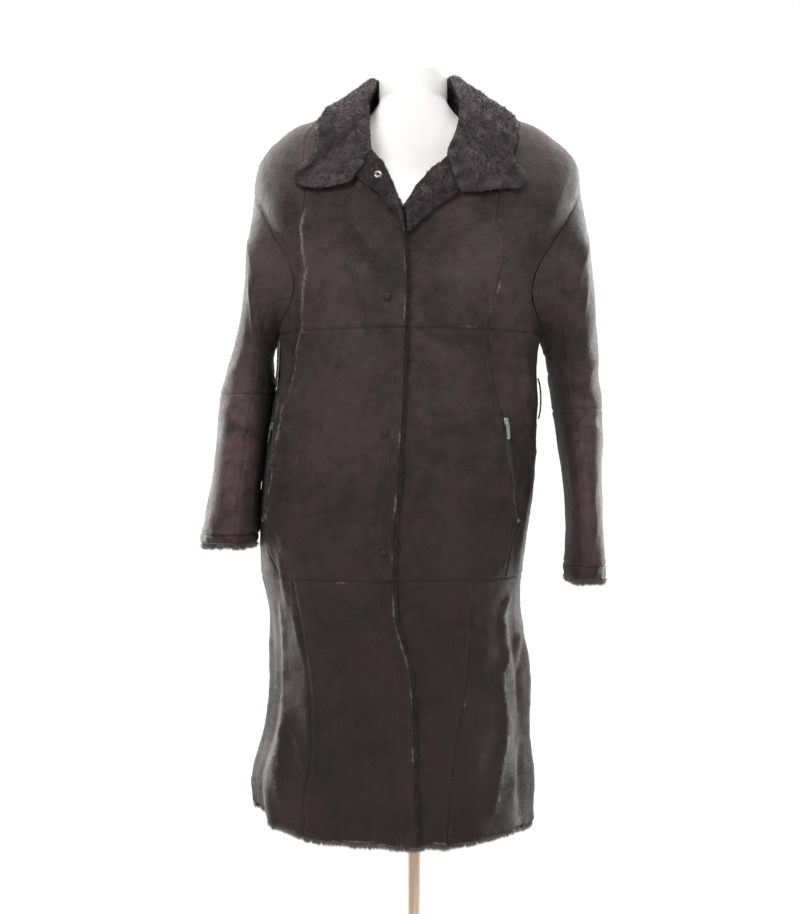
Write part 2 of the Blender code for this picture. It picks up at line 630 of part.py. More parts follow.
def make_collar():
    """The turned-down collar: a stand from the neckline to the crest, and a fall outside."""
    stations = collar_stations()
    at = np.linspace(0, len(stations) - 1, COLLAR_STEPS)
    columns = np.moveaxis(smooth_rows(stations, at), -1, 0)
    crest = np.stack(columns[:3], -1)
    edge_turn, edge_level, foot_turn, foot_level, laid = columns[3:]
    lap = lap_lift(edge_turn, edge_level) * (edge_turn > COLLAR_LAP_TURN)
    edge = coat_point(edge_turn, edge_level, lap + COLLAR_GAP + 0.5 * COLLAR_THICK)
    foot_out = laid * (2 * COLLAR_GAP + 0.5 * STAND_THICK)
    foot_out -= (1 - laid) * STAND_SINK * STAND_THICK
    foot = coat_point(foot_turn, np.minimum(foot_level, NECK), foot_out)
    foot[:, 2] += (1 - laid) * FOOT_RISE
    shapes = []
    for i in range(len(at)):
        away = edge[i] - crest[i]
        stand = foot[i] - crest[i]
        bulge = np.cross(np.cross(away, stand), away)
        bulge = -bulge / np.linalg.norm(bulge)
        high = COLLAR_BULGE * min(1.0, np.linalg.norm(away) / COLLAR_FULL)
        path = [foot[i], foot[i] * (1 - STAND_MIDDLE) + crest[i] * STAND_MIDDLE,
                crest[i] - away * CREST_TURN]
        path += [crest[i] + away * share + bulge * high * part for share, part in FALL_PATH]
        path.append(edge[i])
        shapes.append(thick_path(np.array(path), np.cross(stand, away)))
    rings = np.array(shapes)
    points = rings.reshape(-1, 3)
    count = rings.shape[1]
    faces = [(i * count + j, i * count + (j + 1) % count, (i + 1) * count + (j + 1) % count,
              (i + 1) * count + j) for i in range(len(rings) - 1) for j in range(count)]
    faces.append(tuple(range(count)))
    faces.append(tuple((len(rings) - 1) * count + j for j in range(count)))
    add_object("collar", points, faces, "fur")


def thick_path(path, across):
    """A closed section: a path in its own plane with a thickness, thinner at its foot."""
    across = across / np.linalg.norm(across)
    way = np.gradient(path, axis=0)
    side = np.cross(way, across)
    side /= np.linalg.norm(side, axis=1, keepdims=True)
    half = 0.5 * np.interp(np.arange(len(path)), [0, 1, 3], [STAND_THICK, STAND_THICK,
                                                             COLLAR_THICK])[:, None]
    return np.concatenate([path + side * half, (path - side * half)[::-1]])


def make_facings():
    """The fur facings turned out beside the neck opening, lying on the fronts."""
    for side in ("R", "L"):
        free, fold = on_front(FACING_FREE_EDGE[side]), on_front(FACING_FOLD[side])
        t = np.linspace(0, 1, LINE_STEPS)
        key = np.linspace(0, 1, len(free))
        free = np.stack([np.interp(t, key, free[:, k]) for k in (0, 1)], -1)
        fold = np.stack([np.interp(t, key, fold[:, k]) for k in (0, 1)], -1)
        across = np.linspace(0, 1, len(FACING_PILE))[None, :, None]
        place = free[:, None] * (1 - across) + fold[:, None] * across
        turn, level = place[..., 0], place[..., 1]
        lift = lap_lift(turn, level) if side == "R" else np.zeros(turn.shape)
        pile = np.array(FACING_PILE)[None, :] * FACING_THICK[side]
        outer = coat_point(turn, level, lift + FACE_GAP + pile)
        inner = coat_point(turn, level, lift + FACE_GAP)
        wall_solid(f"facing_{side}", outer, inner, "fur")


def frame_on_coat(x, z, way, lift=0.0):
    """Place and axes on the front: origin, along the way downwards, across, and outwards."""
    turn, level = on_front([(x, z)])[0]
    turn, level = np.array(turn), np.array(level)
    base = coat_point(turn, level, np.array(lift))
    out = coat_normal(turn, level)
    along = np.array(way, float) - out * np.dot(way, out)
    along /= np.linalg.norm(along)
    return base, along, np.cross(out, along), out


def add_block(name, frame, size, rise, bevel, shift=0.0):
    """A bevelled steel block on the cloth: size is width, height and length; rise is its
    underside's height and shift moves it along."""
    base, along, across, out = frame
    width, height, length = size
    work = bmesh.new()
    bmesh.ops.create_cube(work, size=1.0)
    bmesh.ops.scale(work, vec=(width, length, height), verts=work.verts)
    bmesh.ops.bevel(work, geom=work.edges[:], offset=bevel, segments=2, affect="EDGES")
    points, faces = [], []
    for v in work.verts:
        v.index = len(points)
        points.append(base + across * v.co.x + along * (v.co.y + shift)
                      + out * (v.co.z + rise + 0.5 * height))
    for f in work.faces:
        faces.append(tuple(v.index for v in f.verts))
    work.free()
    add_object(name, points, faces, "steel")


def make_zips():
    """The slanted pocket zips: strip, slider, hanging pull tab and end stop."""
    for side in ("R", "L"):
        (top_x, top_z), (end_x, end_z) = ZIPS[side]
        t = np.linspace(0, 1, LINE_STEPS)
        middle = on_front(np.column_stack([top_x + (end_x - top_x) * t,
                                           top_z + (end_z - top_z) * t]))
        turn, level = middle[:, 0], middle[:, 1]
        normal = coat_normal(turn, level)
        centre = coat_point(turn, level, np.zeros(len(t)))
        way = np.gradient(centre, axis=0)
        across = np.cross(normal, way)
        across /= np.linalg.norm(across, axis=1, keepdims=True)
        half = np.array([-0.5, 0.0, 0.5]) * ZIP_WIDTH
        face = centre[:, None] + across[:, None] * half[None, :, None]
        inner = face + normal[:, None] * (LAY_GAP + ZIP_RISE)
        outer = inner + normal[:, None] * ZIP_THICK
        wall_solid(f"pocket_zip_{side}", outer, inner, "fur")
        rise = LAY_GAP + ZIP_RISE + ZIP_THICK + ZIP_CLEAR
        down = (end_x - top_x, 0, end_z - top_z)
        top = frame_on_coat(top_x + SLIDER_AT * down[0], top_z + SLIDER_AT * down[2], down)
        end = frame_on_coat(top_x + STOP_AT * down[0], top_z + STOP_AT * down[2], down)
        add_block(f"zip_slider_{side}", top, SLIDER, rise, SLIDER_BEVEL)
        add_block(f"zip_pull_{side}", top, PULL, rise + SLIDER[1] + PULL_CLEAR, PULL_BEVEL,
                  0.5 * PULL[2] - PULL_STUB)
        add_block(f"zip_stop_{side}", end, STOP, rise, STOP_BEVEL)


def make_snaps():
    """Three covered caps down the right front and the open ring on its facing."""
    for i, (x, z) in enumerate(SNAPS):
        turn, level = on_front([(x, z)])[0]
        lift = lap_lift(np.array(turn), np.array(level))
        frame = frame_on_coat(x, z, (0, 0, -1), lift)
        profile = [(SNAP_RADIUS * wide, SNAP_HEIGHT * high) for wide, high in CAP_PROFILE]
        turned(f"snap_cap_{i + 1}", frame, profile, CAP_SEAT, "leather")
    x, z = OPEN_SNAP
    turn, level = on_front([(x, z)])[0]
    lift = lap_lift(np.array(turn), np.array(level)) + FACE_GAP + FACING_THICK["R"]
    frame = frame_on_coat(x, z, (0, 0, -1), lift)
    profile = [(RING_RADIUS * wide, RING_HEIGHT * high) for wide, high in RING_PROFILE]
    turned("snap_open", frame, profile, LAY_GAP, "steel", hollow=True)


def turned(name, frame, profile, rise, finish, hollow=False, segments=SNAP_SEGMENTS):
    """A small turned piece on the cloth, from a profile of (radius, height)."""
    base, along, across, out = frame
    points, faces = [], []
    for radius, height in profile:
        for k in range(segments):
            angle = 2 * math.pi * k / segments
            points.append(base + out * (rise + height) + along * radius * math.cos(angle)
                          + across * radius * math.sin(angle))
    rows = len(profile)
    for i in range(rows - 1 + hollow):
        for k in range(segments):
            n, m = (i + 1) % rows, (k + 1) % segments
            faces.append((i * segments + k, i * segments + m, n * segments + m,
                          n * segments + k))
    if not hollow:
        faces.append(tuple(range(segments)))
        faces.append(tuple((rows - 1) * segments + k for k in range(segments)))
    add_object(name, points, faces, finish)


def make_belt_loops():
    """A flat loop near each side seam, standing off the cloth between its two ends."""
    for side in ("R", "L"):
        turn, level = BELT_LOOPS[side]
        t = np.linspace(-1, 1, LINE_STEPS)
        levels = level + LOOP_HALF * t
        off = LOOP_SEAT + LOOP_OFF * (1 - t**4)
        turns = np.full(len(t), turn)
        normal = coat_normal(turns, levels)
        centre = coat_point(turns, levels, off)
        across = np.cross(normal, np.gradient(centre, axis=0))
        across /= np.linalg.norm(across, axis=1, keepdims=True)
        half = np.array([-1, 1]) * LOOP_WIDE
        inner = centre[:, None] + across[:, None] * half[None, :, None]
        outer = inner + normal[:, None] * LOOP_THICK
        wall_solid(f"belt_loop_{side}", outer, inner, "leather")


def form_ring(level):
    """A ring of the form's skin: the coat's ring moved in by the wall and the ease."""
    turn = np.linspace(-1, 1, FORM_SEGMENTS + 1)[:-1]
    levels = np.full(len(turn), level)
    side, front, back = smooth_rows(FORM_EASE, np.array(level))
    sine, cosine = np.sin(math.pi * turn), np.cos(math.pi * turn)
    depth = side * sine**2 + np.where(cosine > 0, front, back) * cosine**2
    normal = coat_normal(turn, levels)
    return ring_point(turn, levels) - normal * (WALL + depth)[:, None]


def make_form():
    """The limbless dress form: torso and neck in one, a pole and a round base."""
    lower = np.linspace(FORM_EASE[0, 0], FORM_CHEST, FORM_ROWS)
    rings = [form_ring(level) for level in np.concatenate([lower, shoulder_rows()])]
    bottom = rings[0].copy()
    bottom[:, :2] *= FORM_BOTTOM_SHARE
    bottom[:, 2] = FORM_BOTTOM
    rings[0][:, 2] = FORM_EASE[0, 0]
    rings.insert(0, bottom)
    turn = np.linspace(-1, 1, FORM_SEGMENTS + 1)[:-1]
    for z, radius in NECK_RINGS + [(NECK_TOP, NECK_RINGS[-1][1] - NECK_BEVEL)]:
        rings.append(np.stack([NECK_X + radius * np.sin(math.pi * turn),
                               NECK_Y - radius * np.cos(math.pi * turn),
                               np.full(len(turn), z)], -1))
    points = np.concatenate(rings)
    n = FORM_SEGMENTS
    faces = [(i * n + j, i * n + (j + 1) % n, (i + 1) * n + (j + 1) % n, (i + 1) * n + j)
             for i in range(len(rings) - 1) for j in range(n)]
    faces.append(tuple(range(n)))
    faces.append(tuple((len(rings) - 1) * n + j for j in range(n)))
    add_object("form_torso", points, faces, "form")
    upright("form_pole", [(POLE_RADIUS, BASE_HEIGHT + POLE_GAP),
                          (POLE_RADIUS, FORM_BOTTOM - POLE_GAP)], "beech", POLE_SEGMENTS)
    upright("form_base", [(BASE_RADIUS, 0.0), (BASE_RADIUS, BASE_HEIGHT - BASE_CHAMFER),
                          (BASE_RADIUS - BASE_CHAMFER, BASE_HEIGHT)], "base", BASE_SEGMENTS)


def upright(name, profile, finish, segments):
    """A piece turned about the stand's axis from a profile of (radius, height)."""
    axis = (np.zeros(3), np.array([1.0, 0, 0]), np.array([0, 1.0, 0]), np.array([0, 0, 1.0]))
    turned(name, axis, profile, 0.0, finish, segments=segments)


clear_scene()
make_fronts()
make_back()
make_sleeves()
make_collar()
make_facings()
make_zips()
make_snaps()
make_belt_loops()
make_form()
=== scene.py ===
"""A long shearling coat, leather outside and fur inside, on a limbless dress form.

The coat's leather face is one smooth surface, coat_point(turn, level), as in the part's
solids: turn goes round the body (0 centre front, +0.5 the +X side, 1 and -1 centre back) and
level names a ring by the height of its front point. A sleeve is sleeve_point(side, angle, row).
Each panel is a fine grid on them with a second layer inside it. R and L are the wearer's.
"""

import json
import math

import bpy
import numpy as np
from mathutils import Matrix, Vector

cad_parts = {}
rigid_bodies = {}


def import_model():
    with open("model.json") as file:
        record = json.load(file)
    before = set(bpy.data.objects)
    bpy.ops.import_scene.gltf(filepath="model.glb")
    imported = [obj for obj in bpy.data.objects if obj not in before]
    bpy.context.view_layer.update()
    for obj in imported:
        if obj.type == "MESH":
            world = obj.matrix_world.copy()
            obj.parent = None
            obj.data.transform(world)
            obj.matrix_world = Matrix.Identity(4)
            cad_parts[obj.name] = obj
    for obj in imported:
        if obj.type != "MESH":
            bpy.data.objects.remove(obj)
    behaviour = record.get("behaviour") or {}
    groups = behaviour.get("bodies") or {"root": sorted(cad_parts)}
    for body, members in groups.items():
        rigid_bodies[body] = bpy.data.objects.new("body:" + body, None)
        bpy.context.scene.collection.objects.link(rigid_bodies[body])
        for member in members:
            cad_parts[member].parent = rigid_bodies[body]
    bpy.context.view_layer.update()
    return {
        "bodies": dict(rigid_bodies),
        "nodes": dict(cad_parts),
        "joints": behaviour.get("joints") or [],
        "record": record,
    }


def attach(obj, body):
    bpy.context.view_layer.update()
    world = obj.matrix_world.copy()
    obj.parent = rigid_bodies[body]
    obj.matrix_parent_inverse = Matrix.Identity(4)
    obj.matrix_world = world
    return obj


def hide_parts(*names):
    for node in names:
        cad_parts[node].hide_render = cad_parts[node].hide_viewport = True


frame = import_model()

# The part's driving sizes, in metres
WALL = 0.008            # shearling: the skin with its clipped fur
LAY_GAP = 0.0004        # under what lies on a panel
SQUARENESS = 0.055      # how far a ring fills its corners
SHOULDER_STEPS = 10
HEM, TIER_LOW, TIER_HIGH, NECK = 0.33, 0.71, 1.076, 1.385
SHOULDER_TIP = 1.17
LAP_GAP = 0.0018        # between the two fronts where they overlap
FACE_GAP = 0.0011       # under the turned-out facings
UNDERLAP = 0.032        # how far the left front runs on under the right one
LAP_EASE = 0.045        # over which the right front climbs on to the left one

# Sizes of the fine surfaces
FINE = 6                # fine cells for each cell of a solid's grid
TURN_METRES = 0.60      # girth for one unit of turn, for placing creases
ANGLE_METRES, ROW_METRES = 0.075, 0.055     # the same on a sleeve
SEAM_DEPTH, SEAM_HALF = 0.0009, 0.0011      # the groove at a seam
SEAM_RUB = {"seam": 0.62, "soft": 0.30, "free": 1.0}     # wear beside a border
RIDGE_WEAR_HIGHLIGHT_HEIGHT, BODY_RIDGE_WEAR_HIGHLIGHT, SLEEVE_RIDGE_WEAR_HIGHLIGHT = 0.0035, 0.45, 0.55   # wear and painted highlight on ridges
SOFT_SEAM = 0.5         # the same on seams that are hardly seen
LIP_HEIGHT, LIP_AT, LIP_HALF = 0.0007, 0.0060, 0.0042   # the stitched ridge beside it
PUCKER = 0.0008         # height of the small gathers along a seam
STITCH_PITCH, STITCH_LENGTH, STITCH_THICK = 0.0042, 0.0030, 0.00055
TOPSTITCH = 0.0062      # a stitch row's distance from its seam
RUB_REACH = 0.0033      # how far from a seam or an edge the leather is rubbed

RINGS = np.array([
    # level  -X z   +X z   back z  -X edge +X edge front  back
    [0.330, 0.352, 0.334, 0.330, -0.240, 0.181, 0.172, 0.160],
    [0.400, 0.405, 0.402, 0.400, -0.246, 0.181, 0.168, 0.158],
    [0.480, 0.480, 0.480, 0.480, -0.226, 0.175, 0.163, 0.152],
    [0.573, 0.573, 0.573, 0.573, -0.217, 0.175, 0.157, 0.147],
    [0.660, 0.660, 0.660, 0.660, -0.225, 0.164, 0.152, 0.142],
    [0.740, 0.740, 0.740, 0.740, -0.2375, 0.170, 0.149, 0.138],
    [0.850, 0.850, 0.850, 0.850, -0.2350, 0.186, 0.148, 0.136],
    [0.970, 0.970, 0.970, 0.970, -0.2185, 0.192, 0.150, 0.136],
    [1.076, 1.076, 1.076, 1.076, -0.212, 0.197, 0.151, 0.138],
    [1.170, 1.300, 1.305, 1.200, -0.247, 0.257, 0.146, 0.140],
    [1.270, 1.388, 1.388, 1.310, -0.202, 0.208, 0.127, 0.125],
    [1.340, 1.414, 1.414, 1.385, -0.146, 0.154, 0.097, 0.095],
    [1.385, 1.430, 1.430, 1.428, -0.078, 0.076, 0.066, 0.064],
])

# Front seams as (x, z) seen from the front, top to bottom, one list for each tier
SIDE_FRONT_SEAMS = {
    "L": {"upper": [(0.150, 1.395), (0.124, 1.290), (0.119, 1.235), (0.107, 1.076)],
          "middle": [(0.107, 1.076), (0.119, 0.980), (0.130, 0.950), (0.153, 0.790),
                     (0.133, 0.710)],
          "lower": [(0.087, 0.710), (0.082, 0.645), (0.073, 0.550), (0.058, 0.470),
                    (0.046, 0.330)]},
    "R": {"upper": [(-0.150, 1.395), (-0.160, 1.290), (-0.164, 1.240), (-0.170, 1.137),
                    (-0.176, 1.076)],
          "middle": [(-0.176, 1.076), (-0.196, 1.000), (-0.204, 0.960), (-0.220, 0.860),
                     (-0.227, 0.780), (-0.200, 0.710)],
          "lower": [(-0.180, 0.710), (-0.169, 0.650), (-0.162, 0.600), (-0.155, 0.430),
                    (-0.161, 0.330)]},
}
SEAM_TOP = 1.34         # level at which the side seams run out at the shoulder
SEAM_RUN_OUT = 0.012    # turn between the seams' ends and the shoulder's ridge
SIDE_BACK_TURN = {"upper": 0.78, "middle": 0.74, "lower": 0.75}
SHOULDER_SEAM_TURN = 0.60       # where the side-back seams meet the shoulder
CLOSURE = [(-0.020, 1.250), (-0.0150, 1.200), (-0.0134, 1.076), (-0.018, 0.970),
           (-0.0234, 0.862), (-0.0312, 0.733), (-0.0278, 0.650), (-0.0090, 0.590),
           (-0.0035, 0.530), (-0.0007, 0.400), (0.002, 0.330)]
OPENING_EDGE = {
    "R": [(-0.072, 1.421), (-0.090, 1.385), (-0.076, 1.346), (-0.048, 1.315), (-0.034, 1.285)],
    "L": [(0.070, 1.421), (0.088, 1.385), (0.070, 1.345), (0.042, 1.326), (0.020, 1.307),
          (-0.001, 1.283), (-0.0176, 1.258), (-0.042, 1.235)],
}
FACING_FREE_EDGE = {
    "R": [(-0.0172, 1.212), (-0.0275, 1.238), (-0.049, 1.266), (-0.078, 1.292),
          (-0.090, 1.304)],
    "L": [(-0.0110, 1.215), (0.006, 1.231), (0.032, 1.254), (0.062, 1.274)],
}
FACING_FOLD = {
    "R": [(-0.0160, 1.213), (-0.0205, 1.250), (-0.033, 1.285), (-0.047, 1.315),
          (-0.067, 1.340)],
    "L": [(-0.0125, 1.258), (0.001, 1.283), (0.022, 1.308), (0.053, 1.336)],
}
FACING_THICK = {"R": 0.008, "L": 0.011}
# The leather ends above the hem's fur: turn, and how far above
HEM_RISE = [(-1.0, 0.006), (-0.62, 0.006), (-0.54, 0.030), (-0.50, 0.034), (-0.44, 0.020),
            (-0.36, 0.014), (-0.28, 0.006), (-0.20, 0.003), (-0.10, 0.006), (-0.02, 0.010),
            (0.05, 0.005), (0.12, 0.004), (0.20, 0.008), (0.28, 0.010), (0.36, 0.004),
            (0.44, 0.008), (0.50, 0.006), (0.60, 0.007), (0.80, 0.005), (1.0, 0.006)]

# The largest folds: turn, lowest and highest level, height out of the cloth, half-width
FOLDS = np.array([
    [-0.430, 0.330, 0.680, 0.007, 0.020],
    [-0.365, 0.330, 0.620, -0.006, 0.022],
    [-0.300, 0.330, 0.560, 0.006, 0.024],
    [-0.120, 0.330, 0.500, -0.004, 0.030],
    [0.330, 0.380, 0.690, -0.006, 0.024],
    [0.400, 0.330, 0.660, 0.007, 0.022],
    [0.180, 0.330, 0.520, 0.004, 0.030],
    [-0.330, 0.800, 1.060, 0.005, 0.024],
    [0.360, 0.760, 1.020, 0.004, 0.022],
    [0.610, 0.330, 0.640, 0.008, 0.030],
    [0.820, 0.330, 0.700, 0.007, 0.035],
    [-0.900, 0.330, 0.660, 0.008, 0.035],
    [-0.680, 0.330, 0.600, 0.007, 0.030],
])
FOLD_FADE = 0.09

# Creases seen from the front, as x and z of both ends, height out and half-width
FRONT_CREASES = np.array([
    [-0.101, 1.261, -0.044, 1.160, 0.0024, 0.0090],
    [-0.094, 1.224, -0.034, 1.116, -0.0022, 0.0090],
    [0.042, 1.246, 0.064, 1.232, 0.0018, 0.0100],
    [-0.0595, 0.979, -0.0335, 1.016, -0.0013, 0.0050],
    [-0.031, 1.073, -0.033, 0.943, -0.0011, 0.0030],
    [0.008, 1.120, 0.034, 1.010, 0.0009, 0.0100],
    [-0.199, 0.480, -0.168, 0.410, -0.0022, 0.0080],
    [-0.186, 0.690, -0.164, 0.590, 0.0018, 0.0060],
    [-0.205, 0.766, -0.190, 0.640, 0.0028, 0.0070],
    [-0.168, 0.560, -0.150, 0.480, 0.0015, 0.0080],
    [0.106, 0.470, 0.090, 0.360, -0.0018, 0.0100],
    [-0.028, 0.395, -0.064, 0.352, 0.0024, 0.0070],
    [-0.160, 0.960, -0.176, 0.880, -0.0018, 0.0090],
    [-0.145, 1.200, -0.172, 1.120, 0.0018, 0.0080],
    [-0.120, 1.180, -0.160, 1.060, -0.0014, 0.0120],
    [0.120, 1.200, 0.150, 1.100, 0.0018, 0.0080],
    [0.166, 1.060, 0.168, 0.960, 0.0028, 0.0070],
    [0.178, 0.940, 0.160, 0.840, 0.0020, 0.0070],
    [0.060, 1.060, 0.086, 0.960, 0.0010, 0.0110],
    [-0.080, 1.040, -0.066, 0.930, 0.0010, 0.0120],
    [0.030, 0.880, 0.090, 0.780, 0.0010, 0.0120],
    [-0.120, 0.820, -0.078, 0.740, 0.0011, 0.0110],
    [-0.090, 0.560, -0.100, 0.400, 0.0012, 0.0140],
    [0.020, 0.660, 0.036, 0.480, 0.0010, 0.0140],
    [0.090, 1.240, 0.136, 1.290, 0.0016, 0.0090],
    [-0.100, 1.250, -0.150, 1.300, 0.0016, 0.0090],
])
# Long creases down the front, as (x, z) points from the top: height and half-width of the
# ridge, depth of the trough beside it, how far towards the side it lies, its half-width
LONG_CREASES = [
    ([(-0.156, 1.265), (-0.157, 1.160), (-0.172, 1.0515), (-0.188, 0.965)],
     0.0040, 0.0048, 0.0060, 0.0145, 0.0065),
    ([(-0.183, 0.990), (-0.194, 0.9506), (-0.2075, 0.871), (-0.216, 0.775)],
     0.0036, 0.0042, 0.0014, 0.0200, 0.0060),
    ([(-0.1994, 0.690), (-0.1994, 0.649), (-0.1958, 0.558), (-0.1943, 0.498),
      (-0.1907, 0.365)], 0.0027, 0.0082, 0.0010, 0.0170, 0.0090),
    ([(-0.190, 0.520), (-0.1878, 0.498), (-0.1763, 0.479), (-0.1532, 0.420)],
     0.0020, 0.0070, 0.0010, 0.0130, 0.0070),
    ([(0.146, 0.700), (0.1409, 0.682), (0.1309, 0.655), (0.1395, 0.600), (0.128, 0.564),
      (0.1366, 0.490), (0.1092, 0.355)], 0.0028, 0.0080, 0.0011, -0.0170, 0.0095),
    ([(0.158, 0.640), (0.150, 0.560), (0.156, 0.470), (0.140, 0.370)],
     0.0020, 0.0075, 0.0013, 0.0150, 0.0080),
    ([(0.160, 1.050), (0.166, 0.960), (0.172, 0.860)], 0.0020, 0.0055, 0.0014, -0.0120,
     0.0070),
    ([(-0.166, 0.925), (-0.169, 0.906), (-0.1835, 0.854), (-0.187, 0.830)], 0.0022, 0.0055,
     0.0010, -0.0120, 0.0070),
    ([(-0.220, 0.825), (-0.2152, 0.805), (-0.198, 0.7645), (-0.192, 0.740)], 0.0026, 0.0045,
     0.0012, 0.0110, 0.0060),
]
# The same all round the body, as turn and level of both ends
ROUND_CREASES = np.array([
    [0.520, 1.040, 0.560, 0.900, 0.0030, 0.0080],
    [-0.520, 1.040, -0.570, 0.920, 0.0030, 0.0080],
    [0.560, 0.640, 0.600, 0.420, 0.0030, 0.0080],
    [-0.560, 0.660, -0.590, 0.430, 0.0030, 0.0080],
    [0.660, 1.050, 0.720, 0.900, 0.0020, 0.0090],
    [-0.660, 1.050, -0.720, 0.900, 0.0022, 0.0090],
    [0.900, 0.960, 0.960, 0.840, 0.0012, 0.0130],
    [-0.940, 0.900, -0.880, 0.780, 0.0012, 0.0130],
    [0.760, 0.680, 0.780, 0.460, -0.0024, 0.0100],
    [-0.760, 0.660, -0.790, 0.420, -0.0022, 0.0110],
    [0.930, 0.640, 0.920, 0.400, 0.0022, 0.0120],
    [-0.970, 0.660, -0.960, 0.440, -0.0020, 0.0120],
    [0.800, 1.180, 0.740, 1.090, 0.0020, 0.0090],
    [-0.800, 1.180, -0.740, 1.090, 0.0020, 0.0090],
    [0.640, 0.840, 0.700, 0.760, 0.0016, 0.0100],
    [-0.640, 0.860, -0.700, 0.740, 0.0016, 0.0100],
])
# Creases of a sleeve, as angle and row of both ends, height out and half-width
SLEEVE_CREASES = {
    "R": np.array([
        [-0.8, 0.20, -1.5, 1.60, 0.0032, 0.0080],
        [0.9, 0.10, 1.9, 1.60, 0.0030, 0.0080],
        [0.5, 2.60, 1.8, 3.10, 0.0026, 0.0070],
        [0.2, 3.30, 1.6, 3.70, -0.0024, 0.0070],
        [0.4, 4.60, 1.7, 4.20, 0.0026, 0.0065],
        [1.0, 5.20, 2.1, 4.70, 0.0024, 0.0070],
        [-1.2, 3.40, -0.2, 4.00, 0.0020, 0.0080],
        [-1.4, 4.80, -0.4, 5.20, 0.0020, 0.0080],
        [1.3, 5.60, 1.5, 7.40, 0.0026, 0.0070],
        [0.3, 5.40, 0.6, 7.00, -0.0018, 0.0100],
        [2.2, 2.00, 2.9, 3.40, 0.0026, 0.0080],
        [-2.3, 2.20, -2.9, 3.60, 0.0026, 0.0080],
        [2.4, 5.00, 2.6, 7.00, 0.0022, 0.0080],
        [-2.4, 5.00, -2.6, 7.20, 0.0022, 0.0080],
        [0.1, 0.60, 0.2, 2.40, 0.0014, 0.0120]]),
    "L": np.array([
        [0.8, 0.20, 1.6, 1.70, 0.0032, 0.0080],
        [-0.9, 0.20, -1.8, 1.60, 0.0030, 0.0080],
        [0.6, 2.40, 1.7, 2.90, 0.0024, 0.0075],
        [0.3, 3.20, 1.5, 3.60, -0.0024, 0.0070],
        [0.5, 4.80, 1.8, 4.30, 0.0026, 0.0065],
        [0.9, 5.50, 2.0, 4.90, 0.0022, 0.0070],
        [-1.3, 3.20, -0.3, 3.80, 0.0020, 0.0080],
        [-1.4, 5.00, -0.5, 5.40, 0.0020, 0.0080],
        [1.2, 5.60, 1.4, 7.30, 0.0028, 0.0065],
        [0.6, 5.80, 0.5, 7.40, -0.0020, 0.0090],
        [2.2, 2.20, 2.9, 3.50, 0.0026, 0.0080],
        [-2.3, 2.00, -2.8, 3.40, 0.0026, 0.0080],
        [2.4, 5.00, 2.5, 7.00, 0.0022, 0.0080],
        [-2.4, 5.20, -2.6, 7.00, 0.0022, 0.0080],
        [0.2, 0.60, 0.0, 2.20, 0.0014, 0.0120]]),
}

# The valley between body and sleeve: its depth, and the angle where it is deepest
INNER_SWELL = {"R": 0.0022, "L": 0.0}     # how far the sleeve's inner side fills out
VALLEY = {"R": (0.0065, 2.0), "L": (0.0040, 2.0)}

ARM_LEVEL, ARM_HALF = 0.5 * (TIER_HIGH + SHOULDER_TIP), 0.5 * (SHOULDER_TIP - TIER_HIGH)
ARM_REACH = 0.235
SLEEVE_RINGS = {
    # outer x, outer z, inner x, inner z, middle y, half depth
    "L": np.array([
        [0.271, 1.225, 0.2045, 1.056, 0.004, 0.100],
        [0.279, 1.140, 0.2070, 1.044, 0.006, 0.096],
        [0.284, 1.065, 0.2100, 1.026, 0.008, 0.090],
        [0.287, 1.010, 0.213, 1.005, 0.008, 0.082],
        [0.290, 0.963, 0.218, 0.963, 0.004, 0.077],
        [0.291, 0.905, 0.225, 0.905, -0.006, 0.074],
        [0.286, 0.835, 0.233, 0.835, -0.022, 0.072],
        [0.286, 0.775, 0.234, 0.775, -0.036, 0.070],
        [0.288, 0.728, 0.230, 0.728, -0.044, 0.068]]),
    "R": np.array([
        [-0.2560, 1.225, -0.2195, 1.056, 0.004, 0.100],
        [-0.2630, 1.140, -0.2215, 1.044, 0.006, 0.096],
        [-0.2780, 1.062, -0.2205, 1.026, 0.008, 0.088],
        [-0.292, 1.018, -0.2192, 1.008, 0.008, 0.080],
        [-0.299, 0.985, -0.2203, 0.985, 0.004, 0.074],
        [-0.304, 0.920, -0.2290, 0.920, -0.008, 0.070],
        [-0.311, 0.850, -0.2376, 0.850, -0.024, 0.067],
        [-0.319, 0.795, -0.2397, 0.795, -0.036, 0.065],
        [-0.323, 0.774, -0.2404, 0.774, -0.042, 0.064]]),
}
ELBOW_RING = 4
ARM_STEP = math.pi / 8
TOP_STEPS, UNDER_STEPS = 5, 3
CUFF_DROP = {"R": 0.020, "L": 0.026}
CUFF_FULL = 1.012

COLLAR_THICK, STAND_THICK, COLLAR_BULGE = 0.012, 0.007, 0.003
COLLAR_FRONT = {
    # crest x   y      z      edge x  z      foot x  z
    "R": [[-0.067, -0.116, 1.342, -0.092, 1.292, -0.082, 1.320],
          [-0.072, -0.100, 1.364, -0.138, 1.282, -0.090, 1.350],
          [-0.074, -0.080, 1.394, -0.176, 1.298, -0.100, 1.376],
          [-0.073, -0.054, 1.428, -0.145, 1.350, -0.094, 1.400]],
    "L": [[0.050, -0.118, 1.338, 0.068, 1.272, 0.062, 1.316],
          [0.063, -0.104, 1.362, 0.112, 1.278, 0.078, 1.346],
          [0.072, -0.082, 1.394, 0.161, 1.290, 0.096, 1.374],
          [0.072, -0.054, 1.430, 0.145, 1.348, 0.092, 1.400]],
}
COLLAR_BACK = [
    [-0.067, -0.020, 1.458, -0.430, 1.357],
    [-0.063, 0.006, 1.476, -0.520, 1.360],
    [-0.050, 0.052, 1.482, -0.740, 1.306],
    [0.000, 0.071, 1.484, -1.000, 1.292],
    [0.050, 0.052, 1.484, -1.265, 1.306],
    [0.062, 0.006, 1.480, -1.490, 1.358],
    [0.067, -0.020, 1.460, -1.580, 1.354],
]
COLLAR_GAP = 0.0028
LOCK_FULL = 0.62        # a lock's radius at its root, as a share of its width
CLUMP = 0.012           # distance over which locks lean the same way
FOOT_RISE = 0.0045
